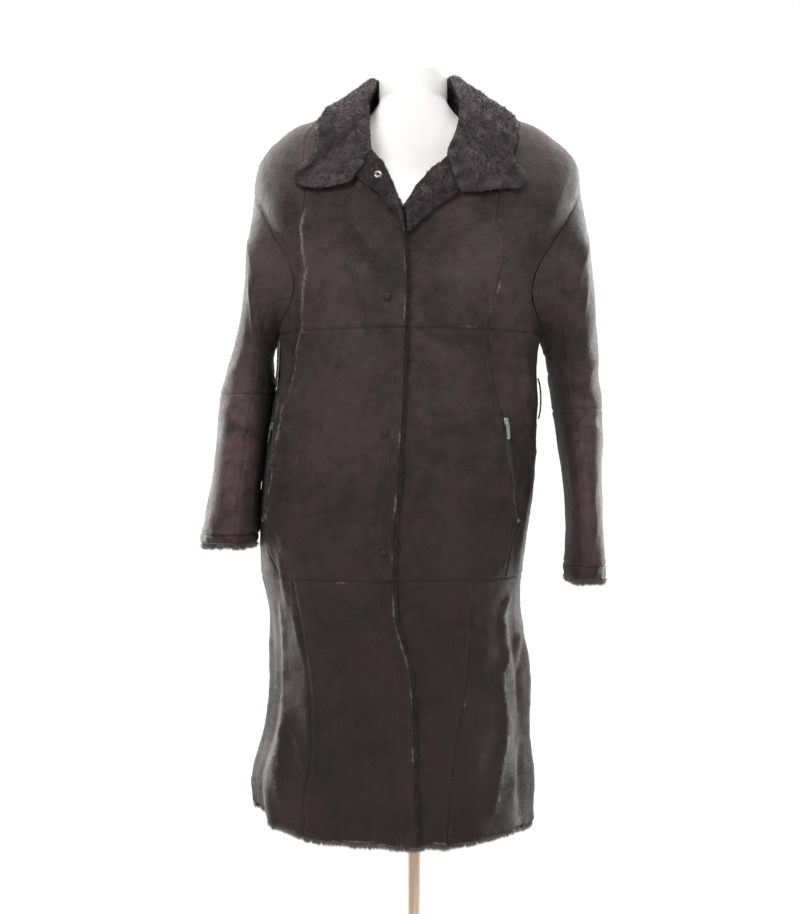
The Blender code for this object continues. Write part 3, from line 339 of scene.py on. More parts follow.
COLLAR_STEPS, COLLAR_ROUND = 220, 64    # fine steps round the neck and round a section

ZIPS = {"L": [(0.1295, 0.951), (0.153, 0.792)], "R": [(-0.2075, 0.945), (-0.2265, 0.792)]}
ZIP_WIDTH, ZIP_THICK, TAPE_SEAT = 0.012, 0.0022, 0.0006
SLIDER = (0.0085, 0.0035, 0.013)
PULL = (0.0060, 0.0012, 0.026)
PULL_CLEAR, PULL_STUB = 0.0005, 0.0006
STOP = (0.008, 0.0022, 0.006)
SNAPS = [(-0.040, 1.120), (-0.043, 0.926), (-0.045, 0.752)]
SNAP_RADIUS, SNAP_HEIGHT, CAP_SWELL = 0.0056, 0.0026, 1.4
OPEN_SNAP = (-0.0535, 1.2930)
RING_RADIUS, RING_HOLE, RING_HEIGHT = 0.0062, 0.0019, 0.0024
BELT_LOOPS = {"R": (-0.395, 1.036), "L": (0.470, 0.985)}
LOOP_HALF, LOOP_WIDE, LOOP_THICK, LOOP_OFF = 0.036, 0.0065, 0.0022, 0.0028
FORM_EASE = np.array([
    # level  side   front  back
    [0.800, 0.062, 0.045, 0.038],
    [0.880, 0.052, 0.036, 0.030],
    [1.000, 0.075, 0.058, 0.046],
    [1.076, 0.060, 0.040, 0.034],
    [1.170, 0.052, 0.017, 0.016],
    [1.270, 0.012, 0.016, 0.010],
    [1.320, 0.0044, 0.036, 0.020],
    [1.352, 0.0039, 0.030, 0.016],
    [1.385, 0.0055, 0.006, 0.009],
])
NECK_X, NECK_Y, NECK_TOP, NECK_BEVEL = -0.0015, 0.003, 1.489, 0.0037
FORM_BOTTOM, FORM_BOTTOM_SHARE = 0.785, 0.9
FORM_ROWS, FORM_CHEST = 8, 1.13
NECK_RINGS = [(1.438, 0.0550), (1.452, 0.0535), (1.468, 0.0530), (1.484, 0.0528)]


# ---- The coat's surfaces

def smooth_rows(table, at):
    """Cubic Hermite through a table's rows at any values of its first column."""
    at = np.clip(np.asarray(at, float), table[0, 0], table[-1, 0])
    key, rows = table[:, 0], table[:, 1:]
    slope = np.gradient(rows, key, axis=0)
    low = np.clip(np.searchsorted(key, at, side="right") - 1, 0, len(key) - 2)
    span = (key[low + 1] - key[low])[..., None]
    t = (at - key[low])[..., None] / span
    return ((2 * t**3 - 3 * t**2 + 1) * rows[low] + (t**3 - 2 * t**2 + t) * span * slope[low]
            + (3 * t**2 - 2 * t**3) * rows[low + 1] + (t**3 - t**2) * span * slope[low + 1])


def ease(value):
    """0 below 0, 1 above 1, and 3v^2 - 2v^3 between."""
    value = np.clip(value, 0.0, 1.0)
    return value * value * (3 - 2 * value)


def unit(vectors):
    """Vectors divided by their lengths."""
    return vectors / np.maximum(np.linalg.norm(vectors, axis=-1, keepdims=True), 1e-9)


def ring_point(turn, level):
    """An ellipse with filled corners at each level: x = middle + half width * sin(pi turn),
    y = -depth * cos(pi turn), each times 1 + squareness * sin(2 pi turn)^2, and the height
    goes from the level in front to the side's and the back's by sin^2 and cos^2."""
    left_z, right_z, back_z, x_low, x_high, front, back = np.moveaxis(
        smooth_rows(RINGS, level), -1, 0)
    sine, cosine = np.sin(math.pi * turn), np.cos(math.pi * turn)
    full = 1 + SQUARENESS * (2 * sine * cosine) ** 2
    x = 0.5 * (x_low + x_high) + 0.5 * (x_high - x_low) * sine * full
    y = -np.where(cosine > 0, front, back) * cosine * full
    side_z = np.where(sine > 0, right_z, left_z)
    z = side_z * sine**2 + np.where(cosine > 0, level, back_z) * cosine**2
    return np.stack(np.broadcast_arrays(x, y, z), -1)


def surface_normal(surface, a, b, step=1e-4):
    """The cross product of a surface's two small steps, made unit length."""
    along_a = surface(a + step, b) - surface(a - step, b)
    along_b = surface(a, b + step) - surface(a, b - step)
    return unit(np.cross(along_a, along_b))


def fold_height(turn, level):
    """The sum of soft ridges, each out * exp(-(turn away / half)^2), faded at its ends."""
    total = np.zeros(np.broadcast(turn, level).shape)
    for at, low, high, out, half in FOLDS:
        away = (turn - at + 1) % 2 - 1
        ends = ease((level - low + FOLD_FADE) / FOLD_FADE) * ease((high - level) / FOLD_FADE)
        total += out * np.exp(-(away / half) ** 2) * ends
    return total


def coat_normal(turn, level):
    """The ring surface's outward normal."""
    return surface_normal(ring_point, turn, np.clip(level, HEM + 2e-4, NECK - 2e-4))


def coat_point(turn, level, out=0.0):
    """The leather face before creases: a ring's point, its folds and a distance out."""
    return ring_point(turn, level) + coat_normal(turn, level) * (
        fold_height(turn, level) + out)[..., None]


def turn_at(x, level):
    """The turn, on the front, where the ring at a level has this x."""
    turns = np.linspace(-0.5, 0.5, 801)
    x, level = np.broadcast_arrays(np.asarray(x, float), np.asarray(level, float))
    found = [np.interp(v, ring_point(turns, np.full(801, l))[:, 0], turns)
             for v, l in zip(x.ravel(), level.ravel())]
    return np.array(found).reshape(x.shape)


def on_front(points):
    """(turn, level) of points on the front given as (x, z)."""
    points = np.array(points, float)
    level = np.minimum(points[:, 1], NECK)
    turn = turn_at(points[:, 0], level)
    for _ in range(12):
        z = ring_point(turn, level)[:, 2]
        level = np.clip(level + 0.7 * (points[:, 1] - z), HEM, NECK)
        turn = turn_at(points[:, 0], level)
    return np.stack([turn, level], -1)


def turn_along(points, levels):
    """The turn at each level along a line on the front given as (x, z)."""
    line = on_front(points)
    line = line[np.argsort(line[:, 1])]
    return np.interp(levels, line[:, 1], line[:, 0])


CLOSURE_LINE = on_front(CLOSURE)[::-1]


def lap_lift(turn, level):
    """How far the right front is lifted, easing over a strip, to pass over the left one."""
    x = ring_point(turn, level)[..., 0]
    under = np.interp(level, CLOSURE_LINE[:, 1], CLOSURE_LINE[:, 0])
    edge_x = ring_point(under, level)[..., 0]
    return ease((x - (edge_x - UNDERLAP - LAP_EASE)) / LAP_EASE) * (WALL + LAP_GAP)


def closure_turn(side, levels):
    """The turn of a front's edge: down the closure and up the neck opening."""
    if side == "R":
        return turn_along(OPENING_EDGE["R"] + CLOSURE, levels)
    under = [(x - UNDERLAP, z) for x, z in CLOSURE[1:]]
    return turn_along(OPENING_EDGE["L"] + under, levels)


def armhole_turn(side, angle):
    """The turn of the armhole's edge: angle 0 at the shoulder tip, pi under the arm."""
    sign = 1 if side == "L" else -1
    return sign * (0.5 - ARM_REACH * np.sin(angle))


def armhole_level(angle):
    """The level of the armhole's edge."""
    return ARM_LEVEL + ARM_HALF * np.cos(angle)


def hanging_ring(side, angle, row):
    """A sleeve's ring between its outer and inner edges, flattened as an empty sleeve is."""
    table = SLEEVE_RINGS[side]
    rows = np.column_stack([np.arange(len(table)), table])
    outer_x, outer_z, inner_x, inner_z, middle_y, depth = np.moveaxis(
        smooth_rows(rows, row), -1, 0)
    cosine, sine = np.cos(angle), np.sin(angle)
    full = 1 + SQUARENESS * (2 * sine * cosine) ** 2
    x = 0.5 * (outer_x + inner_x) + 0.5 * (outer_x - inner_x) * cosine * full
    z = 0.5 * (outer_z + inner_z) + 0.5 * (outer_z - inner_z) * cosine * full
    y = middle_y - depth * sine * full
    return np.stack([x, y, z], -1)


def sleeve_point(side, angle, row):
    """A sleeve's leather face: row -1 is the armhole's edge, 0 and on the hanging rings."""
    loop = coat_point(armhole_turn(side, angle), armhole_level(angle))
    ring = hanging_ring(side, angle, np.maximum(row, 0.0))
    share = ease(np.clip(row + 1, 0, 1))[..., None]
    return loop * (1 - share) + ring * share


def sleeve_normal(side, angle, row):
    """A sleeve's outward normal."""
    def surface(a, b):
        return sleeve_point(side, a, b)
    normal = surface_normal(surface, angle, np.maximum(row, -0.98), 1e-3)
    return normal if side == "L" else -normal


# ---- Relief of the cloth

def ripple(u, v, seed, size, count=9):
    """Uneven waviness from -1 to 1: the mean of sines of random direction and phase."""
    rng = np.random.default_rng(seed)
    total = np.zeros(np.broadcast(u, v).shape)
    for _ in range(count):
        way = rng.uniform(0, math.pi)
        wave = size * rng.uniform(0.6, 1.6)
        phase = rng.uniform(0, 2 * math.pi)
        total += np.sin((u * math.cos(way) + v * math.sin(way)) * 2 * math.pi / wave + phase)
    return total / math.sqrt(count)


def crease_height(u, v, creases):
    """Ridges along short bowed lines: height * exp(-(away / half)^2), with a softer trough
    on one side, swelling from nothing at the ends to the middle."""
    total = np.zeros(u.shape)
    for i, (u0, v0, u1, v1, height, half) in enumerate(creases):
        long_u, long_v = u1 - u0, v1 - v0
        length = math.hypot(long_u, long_v)
        t = ((u - u0) * long_u + (v - v0) * long_v) / length**2
        bow = 0.06 * length * math.sin(2.1 * i + 0.7) * (1 - (2 * t - 1) ** 2)
        away = ((u - u0) * long_v - (v - v0) * long_u) / length - bow
        ends = ease(t * 3.2) * ease((1 - t) * 3.2)
        wide = half * (1 + 0.35 * np.sin(9 * t + i))
        ridge = np.exp(-(away / wide) ** 2)
        trough = 0.55 * np.exp(-((away - 2.1 * half * (-1) ** i) / (1.5 * half)) ** 2)
        total += height * (ridge - trough) * ends
    return total


def long_crease_height(u, v):
    """Ridges and troughs down lines whose place is a function of level: at each level
    height * exp(-(away / half)^2), less the trough's own bell, fading at both ends, the
    line swaying by a millimetre and the ridge uneven in height along it. Also a pale mask
    on each ridge's one flank: wear there, and painted highlight where the fold meets the light."""
    total, worn = np.zeros(u.shape), np.zeros(u.shape)
    for i, (line_v, line_u, height, half, depth, at, wide) in enumerate(LONG_LINES):
        sway = 0.0009 * np.sin(v * 95 + 2.0 * i) + 0.0005 * np.sin(v * 240 + 1.3 * i)
        away = u - np.interp(v, line_v, line_u) - sway
        ends = ease((v - line_v[0]) / 0.030) * ease((line_v[-1] - v) / 0.030)
        uneven = 1 + 0.28 * np.sin(v * 150 + 1.7 * i) + 0.20 * np.sin(v * 330 + i)
        ridge = height * uneven * np.exp(-(away / half) ** 2)
        side = np.sign(line_u[0]) * at
        trough = depth * np.exp(-((away - side) / wide) ** 2)
        total += (ridge - trough) * ends
        # The ridge's pale flank: wear, and painted highlight where the fold meets the light.
        edge = np.exp(-((away + 0.3 * np.sign(at) * half) / (0.75 * half)) ** 2)
        rubbed = height / 0.0042 * (0.7 + 0.3 * uneven)
        worn = np.maximum(worn, np.clip(rubbed, 0, 0.9) * edge * ends)
    return total, worn


def long_lines():
    """The long creases with their points as levels and metric turns, from the lowest up."""
    found = []
    for points, *sizes in LONG_CREASES:
        line = on_front(points)[::-1]
        found.append((line[:, 1], line[:, 0] * TURN_METRES, *sizes))
    return found


LONG_LINES = long_lines()


def front_table(creases):
    """Creases given as (x, z) on the front, as metric (turn, level)."""
    first, last = on_front(creases[:, 0:2]), on_front(creases[:, 2:4])
    return np.column_stack([first[:, 0] * TURN_METRES, first[:, 1],
                            last[:, 0] * TURN_METRES, last[:, 1], creases[:, 4:]])


BODY_CREASES = np.concatenate([
    front_table(FRONT_CREASES),
    ROUND_CREASES * np.array([TURN_METRES, 1, TURN_METRES, 1, 1, 1])])


def body_relief(turn, level):
    """Creases, broad unevenness and fine crinkle of the body's leather."""
    u, v = turn * TURN_METRES, level
    quiet = 1 - 0.6 * ease((level - 1.20) / 0.10)
    broad = 0.0012 * ripple(u, v, 3, 0.16)
    middle = 0.00042 * ripple(u, v, 5, 0.045, 12)
    fine = 0.00016 * ripple(u, v * 0.7, 8, 0.016, 14)
    creases = crease_height(u, v, BODY_CREASES) + long_crease_height(u, v)[0]
    near = 0.0020 * np.exp(-((turn + 0.485) / 0.035) ** 2) * ease((level - 0.76) / 0.05) * (
        ease((1.03 - level) / 0.05))
    return (creases + broad + middle) * quiet + fine + near


def sleeve_relief(side, angle, row):
    """The same on a sleeve."""
    scale = np.array([ANGLE_METRES, ROW_METRES, ANGLE_METRES, ROW_METRES, 1, 1])
    wrapped = (angle + math.pi) % (2 * math.pi) - math.pi
    u, v = wrapped * ANGLE_METRES, row * ROW_METRES
    round_u, round_v = 0.075 * np.cos(angle), 0.075 * np.sin(angle)
    seed = 20 if side == "R" else 40
    broad = 0.0011 * ripple(round_u + v, round_v - v, seed, 0.14)
    middle = 0.0005 * ripple(round_u + 0.8 * v, round_v + v, seed + 1, 0.05, 12)
    begin = ease(row + 1)
    depth, at = VALLEY[side]
    valley = depth * np.exp(-((row + 0.62) / 0.20) ** 2) * ease((row + 1) / 0.2) * (
        np.exp(-((np.abs(wrapped) - at) / 0.75) ** 2))
    near = INNER_SWELL[side] * np.exp(-((np.abs(wrapped) - math.pi) / 0.6) ** 2) * ease(row - 2.5)
    creases = 0.62 * crease_height(u, v, SLEEVE_CREASES[side] * scale)
    return (creases + 0.7 * broad + 0.7 * middle) * begin + near - valley


def seam_relief(away, along, kind, seed):
    """Beside a seam: a groove, a stitched ridge and small gathers that die away. Beside a
    free edge: a rolled edge and the ridge alone."""
    gathers = ripple(along, away * 0.25, seed, 0.011, 7)
    fade = np.exp(-away / 0.012)
    if kind != "free":
        groove = -SEAM_DEPTH * np.exp(-(away / SEAM_HALF) ** 2)
        lip = LIP_HEIGHT * np.exp(-((away - LIP_AT) / LIP_HALF) ** 2)
        relief = groove + lip + PUCKER * 0.7 * gathers * fade * (1 - np.exp(-away / 0.002))
        return relief * (SOFT_SEAM if kind == "soft" else 1.0)
    roll = -0.0022 * np.exp(-(away / 0.0016) ** 2)
    ridge = 0.0009 * np.exp(-((away - 0.006) / 0.004) ** 2)
    return roll + ridge + PUCKER * 0.8 * gathers * fade


# ---- Meshes

def new_piece(name, points, faces, materials, slots=None, worn=None, sharp=55):
    """A mesh object from points (n, 3), faces, a material number for each face, and a
    value for each point: wear and painted ridge highlight on leather, tone on fur."""
    mesh = bpy.data.meshes.new(name)
    mesh.from_pydata(np.asarray(points, float), [], faces)
    for finish in materials:
        mesh.materials.append(finish)
    if slots is not None:
        mesh.polygons.foreach_set("material_index", np.asarray(slots, np.int32))
    if worn is not None:
        layer = mesh.attributes.new("worn", "FLOAT", "POINT")
        layer.data.foreach_set("value", np.asarray(worn, np.float32))
    mesh.shade_smooth()
    mesh.set_sharp_from_angle(angle=math.radians(sharp))
    piece = bpy.data.objects.new(name, mesh)
    bpy.context.scene.collection.objects.link(piece)
    return piece


def grid_faces(rows, columns, start=0, round_way=False, flip=False):
    """The quads of a grid of points numbered row by row, as an array."""
    step = columns if round_way else columns - 1
    i, j = np.meshgrid(np.arange(rows - 1), np.arange(step), indexing="ij")
    a = i * columns + j
    b = i * columns + (j + 1) % columns
    quads = np.stack([a, b, b + columns, a + columns], -1).reshape(-1, 4) + start
    return quads[:, ::-1] if flip else quads


def face_outwards(points, faces):
    """Reverse all faces if the closed shell they make has a negative volume."""
    p = points[faces]
    volume = np.sum(p[:, 0] * np.cross(p[:, 1], p[:, 2]))
    volume += np.sum(p[:, 0] * np.cross(p[:, 2], p[:, 3]))
    return faces if volume > 0 else faces[:, ::-1]


def wall(name, outer, inner, materials, worn=None, round_way=False):
    """A closed wall: an outer grid, the matching inner one, and strips round the border.
    The first material is the outer face's, the second the inner face's and the border's."""
    rows, columns = outer.shape[:2]
    points = np.concatenate([outer.reshape(-1, 3), inner.reshape(-1, 3)])
    layer = rows * columns
    top = grid_faces(rows, columns, 0, round_way)
    under = grid_faces(rows, columns, layer, round_way, flip=True)
    strips = []
    for row in (0, rows - 1):
        line = row * columns + np.arange(columns)
        nxt = np.roll(line, -1)
        if not round_way:
            line, nxt = line[:-1], nxt[:-1]
        strip = np.stack([nxt, line, line + layer, nxt + layer], -1)
        strips.append(strip if row == 0 else strip[:, ::-1])
    if not round_way:
        for column in (0, columns - 1):
            line = np.arange(rows - 1) * columns + column
            strip = np.stack([line, line + columns, line + columns + layer, line + layer], -1)
            strips.append(strip if column == 0 else strip[:, ::-1])
    border = np.concatenate(strips)
    faces = face_outwards(points, np.concatenate([top, under, border]))
    slots = np.zeros(len(faces), int)
    slots[len(top):] = len(materials) - 1
    both = None if worn is None else np.concatenate([worn.ravel(), np.zeros(layer)])
    return new_piece(name, points, faces.tolist(), materials, slots, both)


def distances(outer):
    """Distance of each grid point from the four borders, along rows and columns, and the
    distance along them."""
    across = np.linalg.norm(np.diff(outer, axis=1), axis=-1)
    along = np.linalg.norm(np.diff(outer, axis=0), axis=-1)
    from_low = np.concatenate([np.zeros((len(outer), 1)), np.cumsum(across, 1)], 1)
    from_first = np.concatenate([np.zeros((1, outer.shape[1])), np.cumsum(along, 0)], 0)
    return {"low": (from_low, from_first), "high": (from_low[:, -1:] - from_low, from_first),
            "first": (from_first, from_low), "last": (from_first[-1:] - from_first, from_low)}


def edge_relief(outer, kinds, seed):
    """The relief of all borders of a grid, and how worn the leather is there."""
    groove = np.zeros(outer.shape[:2])
    ridges = np.zeros(outer.shape[:2])
    worn = np.zeros(outer.shape[:2])
    for i, (border, (away, along)) in enumerate(distances(outer).items()):
        kind = kinds.get(border)
        if kind is None:
            continue
        relief = seam_relief(away, along, kind, seed + 7 * i)
        groove = np.minimum(groove, relief)
        ridges = np.maximum(ridges, relief)
        rub = 0.34 + 0.5 * ripple(along, away, seed + 7 * i + 3, 0.060)
        rub = rub * SEAM_RUB[kind]
        near = np.exp(-((away - 0.7 * RUB_REACH) / RUB_REACH) ** 2)
        worn = np.maximum(worn, near * np.clip(rub, 0, 0.8))
    return groove + ridges * np.clip(1 + groove / SEAM_DEPTH, 0, 1), worn


def steps_between(length, cell):
    """Values from 0 to 1: close together near both ends, about a cell apart between."""
    near = np.array([0, 0.0009, 0.0018, 0.0030, 0.0048, 0.0072, 0.0105])
    if length < 3.2 * near[-1]:
        return np.linspace(0, 1, max(6, int(length / 0.003)))
    near = near / length
    count = max(2, int(round((1 - 2 * near[-1]) * length / cell)))
    middle = np.linspace(near[-1], 1 - near[-1], count + 1)
    return np.concatenate([near[:-1], middle, 1 - near[:-1][::-1]])


def pull_in(outer, inner, gap=0.00005):
    """Draw a grid's borders in by half of the gap between two panels."""
    for axis in (0, 1):
        o, n = np.moveaxis(outer, axis, 0), np.moveaxis(inner, axis, 0)
        for edge, near in ((0, 1), (-1, -2)):
            way = unit(o[near] - o[edge]) * gap
            o[edge] += way
            n[edge] += way
    return outer, inner



def body_panel(name, levels, low_turn, high_turn, kinds, seed, lift=False, cell=0.0052):
    """A body panel between two lines: rows at levels, columns evenly between the lines."""
    middle = len(levels) // 2
    ends = coat_point(np.array([low_turn[middle], high_turn[middle]]),
                      np.array([levels[middle]] * 2))
    width = float(np.linalg.norm(ends[1] - ends[0])) * 1.08
    across = steps_between(max(width, 0.05), cell)[None, :]
    turn = low_turn[:, None] * (1 - across) + high_turn[:, None] * across
    level = np.repeat(levels[:, None], across.shape[1], 1)
    if kinds.get("first") == "hem":
        rise = np.interp(turn, *np.array(HEM_RISE).T) + 0.0012 * ripple(turn * 0.6, level, 5, 0.03)
        level = level + rise * (TIER_LOW - level) / (TIER_LOW - HEM)
    plain = coat_point(turn, level, lap_lift(turn, level) if lift else 0.0)
    lips = pocket_relief(plain, name[-1]) if name.startswith("front_middle") else 0.0
    borders = {k: ("free" if v == "hem" else v) for k, v in kinds.items()}
    relief, worn = edge_relief(plain, borders, seed)
    creases = body_relief(turn, level)
    normal = coat_normal(turn, level)
    outer = plain + normal * (creases + relief + lips)[..., None]
    for row, at_level in enumerate(levels):
        if min(abs(at_level - TIER_LOW), abs(at_level - TIER_HIGH)) < 1e-6:
            normal[row, :, 2] = 0.0
    inner = plain + unit(normal) * (creases - WALL)[..., None]
    outer, inner = pull_in(outer, inner)
    # Paler on crease ridges: wear and painted highlight.
    rub = np.clip(creases / RIDGE_WEAR_HIGHLIGHT_HEIGHT, 0, 1) * BODY_RIDGE_WEAR_HIGHLIGHT
    rub = np.maximum(rub, long_crease_height(turn * TURN_METRES, level)[1])
    piece = wall(f"{name}_skin", outer, inner, [LEATHER, FUR_INSIDE], np.maximum(worn, rub))
    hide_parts(name)
    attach(piece, "coat")
    return outer, inner


def pocket_relief(points, side):
    """The leather lips beside a pocket zip: a slot where the tape lies and a ridge on both
    sides, from the distance to the zip's line seen from the front."""
    (top_x, top_z), (end_x, end_z) = ZIPS[side]
    way = np.array([end_x - top_x, end_z - top_z])
    length = np.linalg.norm(way)
    rel = np.stack([points[..., 0] - top_x, points[..., 2] - top_z], -1)
    t = rel @ way / length**2
    lean = 1.0 / np.clip(np.abs(coat_facing(points)), 0.35, 1.0)
    away = np.abs(rel[..., 0] * way[1] - rel[..., 1] * way[0]) / length * lean
    ends = ease((t + 0.05) / 0.05) * ease((1.07 - t) / 0.05)
    lips = 0.0034 * np.exp(-((away - 0.0072) / 0.0026) ** 2)
    return (lips - 0.0012 * np.exp(-(away / 0.0040) ** 4)) * ends


def coat_facing(points):
    """How squarely the surface at points faces the front, roughly, from its depth."""
    return np.clip(-points[..., 1] / 0.150, 0.0, 1.0)


def fine_levels(low, high, cell=0.0052):
    """Rows of a tier, close together near its seams."""
    return low + (high - low) * steps_between(high - low, cell)


def run_out(levels, seam, end, solid_rows):
    """A side seam's turn: up to the solids' last side row, then towards the ridge at
    turn end, which it reaches two rows further up."""
    low = solid_rows[solid_rows < SEAM_TOP].max()
    top, above = solid_rows[solid_rows >= SEAM_TOP][:2]
    start = np.interp(low, levels, seam)
    near = end + SEAM_RUN_OUT * np.sign(start - end)
    return np.where(levels <= low, seam, np.interp(levels, [low, top, above],
                                                   [start, near, end]))


def make_body():
    """Fronts and back, tier by tier, as the solids are cut."""
    angles = np.linspace(math.pi, 0, 8 * FINE + 1)
    solid_top = np.linspace(SHOULDER_TIP, NECK, SHOULDER_STEPS + 1)
    upper = np.concatenate([armhole_level(angles),
                            np.linspace(SHOULDER_TIP, NECK, SHOULDER_STEPS * 5 + 1)[1:]])
    centre_top = solid_top[solid_top >= SEAM_TOP].min()
    tiers = {"lower": fine_levels(HEM, TIER_LOW), "middle": fine_levels(TIER_LOW, TIER_HIGH),
             "upper": upper}
    hole = np.arange(len(angles))
    for side, sign in (("R", -1), ("L", 1)):
        for t, (tier, levels) in enumerate(tiers.items()):
            seam = turn_along(SIDE_FRONT_SEAMS[side][tier], levels)
            edge = closure_turn(side, levels)
            outline = seam.copy()
            kinds = {"first": "hem" if tier == "lower" else "seam",
                     "last": "none" if tier == "upper" else "seam"}
            if tier == "upper":
                seam = run_out(levels, seam, sign * 0.5, solid_top)
                outline = seam.copy()
                kinds.pop("last")
            closing = {"low": "seam", "high": "free"} if side == "R" else {
                "low": "free", "high": "seam"}
            low, high = (outline, edge) if side == "R" else (edge, outline)
            SURFACES[f"front_{tier}_centre_{side}"] = body_panel(
                f"front_{tier}_centre_{side}", levels, low, high, {**kinds, **closing},
                100 + 10 * t + sign, side == "R")
            side_line = np.full(len(levels), sign * 0.5)
            rows = slice(None)
            if tier == "upper":
                side_line[hole] = armhole_turn(side, angles)
                rows = levels <= centre_top + 1e-9
            low, high = (side_line, seam) if side == "R" else (seam, side_line)
            kinds = {**kinds, "low": "seam", "high": "seam"}
            if tier == "upper":
                kinds["last"] = "seam"
            SURFACES[f"front_{tier}_side_{side}"] = body_panel(
                f"front_{tier}_side_{side}", levels[rows], low[rows], high[rows], kinds,
                140 + 10 * t + sign)
    for t, (tier, levels) in enumerate(tiers.items()):
        seam = np.full(len(levels), SIDE_BACK_TURN[tier])
        outline = seam
        if tier == "upper":
            seam = np.interp(levels, [SHOULDER_TIP, SEAM_TOP],
                             [SIDE_BACK_TURN[tier], SHOULDER_SEAM_TURN])
            seam = run_out(levels, seam, 0.5, solid_top)
            outline = seam.copy()
        kinds = {"low": "seam", "high": "seam", "first": "hem" if tier == "lower" else "seam"}
        if tier != "upper":
            kinds["last"] = "seam"
        SURFACES[f"back_{tier}_centre"] = body_panel(
            f"back_{tier}_centre", levels, outline, 2 - outline, kinds, 200 + 10 * t,
            cell=0.0068)
        for side in ("R", "L"):
            side_line = np.full(len(levels), 0.5)
            rows = slice(None)
            if tier == "upper":
                side_line[hole] = 0.5 + ARM_REACH * np.sin(angles)
                rows = levels <= centre_top + 1e-9
            low, high = (-seam, -side_line) if side == "R" else (side_line, seam)
            SURFACES[f"back_{tier}_side_{side}"] = body_panel(
                f"back_{tier}_side_{side}", levels[rows], low[rows], high[rows],
                {**kinds, "last": "seam"}, 230 + 10 * t + (side == "R"), cell=0.0062)


def make_sleeves():
    """Both sleeves: an upper and a lower tier, each a top and an under panel, and a cuff."""
    last = len(SLEEVE_RINGS["L"]) - 1
    tiers = {"upper": (-1, ELBOW_RING, 0.36), "lower": (ELBOW_RING, last, 0.24)}
    halves = {"top": (-TOP_STEPS * ARM_STEP, TOP_STEPS * ARM_STEP, 0.30),
              "under": (math.pi - UNDER_STEPS * ARM_STEP, math.pi + UNDER_STEPS * ARM_STEP, 0.18)}
    for side in ("R", "L"):
        for t, (tier, (first, end, length)) in enumerate(tiers.items()):
            for h, (half, (low, high, width)) in enumerate(halves.items()):
                rows = first + (end - first) * steps_between(length, 0.0058)
                angles = low + (high - low) * steps_between(width, 0.0058)
                angle, row = np.meshgrid(angles, rows)
                plain = sleeve_point(side, angle, row)
                kinds = {"low": "soft", "high": "soft", "last": "seam",
                         "first": "soft" if tier == "upper" else "seam"}
                relief, worn = edge_relief(plain, kinds, 300 + 20 * t + 5 * h + (side == "R"))
                creases = sleeve_relief(side, angle, row)
                normal = sleeve_normal(side, angle, row)
                outer = plain + normal * (creases + relief)[..., None]
                follow = 1 if tier == "lower" else 0.4
                inner = plain + normal * (creases * follow - WALL)[..., None]
                outer, inner = pull_in(outer, inner)
                name = f"sleeve_{tier}_{half}_{side}"
                # Paler on crease ridges: wear and painted highlight.
                rub = np.clip(creases / RIDGE_WEAR_HIGHLIGHT_HEIGHT, 0, 1) * SLEEVE_RIDGE_WEAR_HIGHLIGHT
                piece = wall(f"{name}_skin", outer, inner, [LEATHER, FUR_INSIDE],
                             np.maximum(worn, rub))
                finish_piece(piece, name)
                SURFACES[name] = (outer, inner)
        make_cuff(side, last)


def finish_piece(piece, *nodes, body="coat", slot="leather"):
    """Put a piece on its body and let it stand for its solids, if it has any."""
    if nodes:
        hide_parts(*nodes)
    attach(piece, body)


def make_cuff(side, last):
    """The cuff band: its ring carried down, leather outside and over the upper part, the
    fur showing below the leather's edge."""
    columns = 132
    angle, drop = np.meshgrid(np.linspace(0, 2 * math.pi, columns + 1)[:-1],
                              np.linspace(1, 0, 14))
    ring = hanging_ring(side, angle, np.full(angle.shape, float(last)))
    centre = ring[0].mean(0)
    leather = CUFF_DROP[side] - 0.007
    plain = centre + (ring - centre) * CUFF_FULL
    plain[..., 2] -= 0.0004 + drop * (leather + 0.0015 * ripple(
        0.08 * np.cos(angle), 0.08 * np.sin(angle), 61, 0.06))
    radial = plain - centre
    radial[..., 2] = 0
    radial = unit(radial)
    away = drop * leather
    relief = 0.0011 * np.sin(np.clip(away / leather, 0, 1) * math.pi)
    relief += 0.0008 * ripple(0.08 * np.cos(angle) + away, 0.08 * np.sin(angle), 62, 0.02)
    relief -= 0.0018 * np.exp(-((leather - away) / 0.0014) ** 2)
    relief -= 0.0012 * np.exp(-(away / 0.0014) ** 2)
    outer = plain + radial * relief[..., None]
    inner = plain - radial * WALL
    worn = np.exp(-((leather - away) / 0.0035) ** 2) * 0.8
    piece = wall(f"cuff_{side}_skin", outer, inner, [LEATHER, FUR_INSIDE], worn, round_way=True)
    finish_piece(piece, f"cuff_{side}")
    SURFACES[f"cuff_{side}"] = (outer, inner)


SURFACES = {}           # outer and inner grids by node, for fur and stitches


# ---- Collar and facings

def collar_stations():
    """The collar's table of sections, from the right front end round to the left one."""
    rows = []
    for side, order in (("R", 1), ("L", -1)):
        table = np.array(COLLAR_FRONT[side])
        edge, foot = on_front(table[:, 3:5]), on_front(table[:, 5:7])
        if side == "L":
            edge[:, 0] -= 2
            foot[:, 0] -= 2
        laid = np.ones((len(table), 1))
        rows.append(np.column_stack([table[:, :3], edge, foot, laid])[::order])
    back = np.array(COLLAR_BACK)
    laid = np.zeros(len(back))
    laid[[0, -1]] = 0.5
    neck = np.column_stack([back[:, 3], np.full(len(back), NECK), laid])
    table = np.concatenate([rows[0], np.column_stack([back, neck]), rows[1]])
    return np.column_stack([np.arange(len(table)), table])


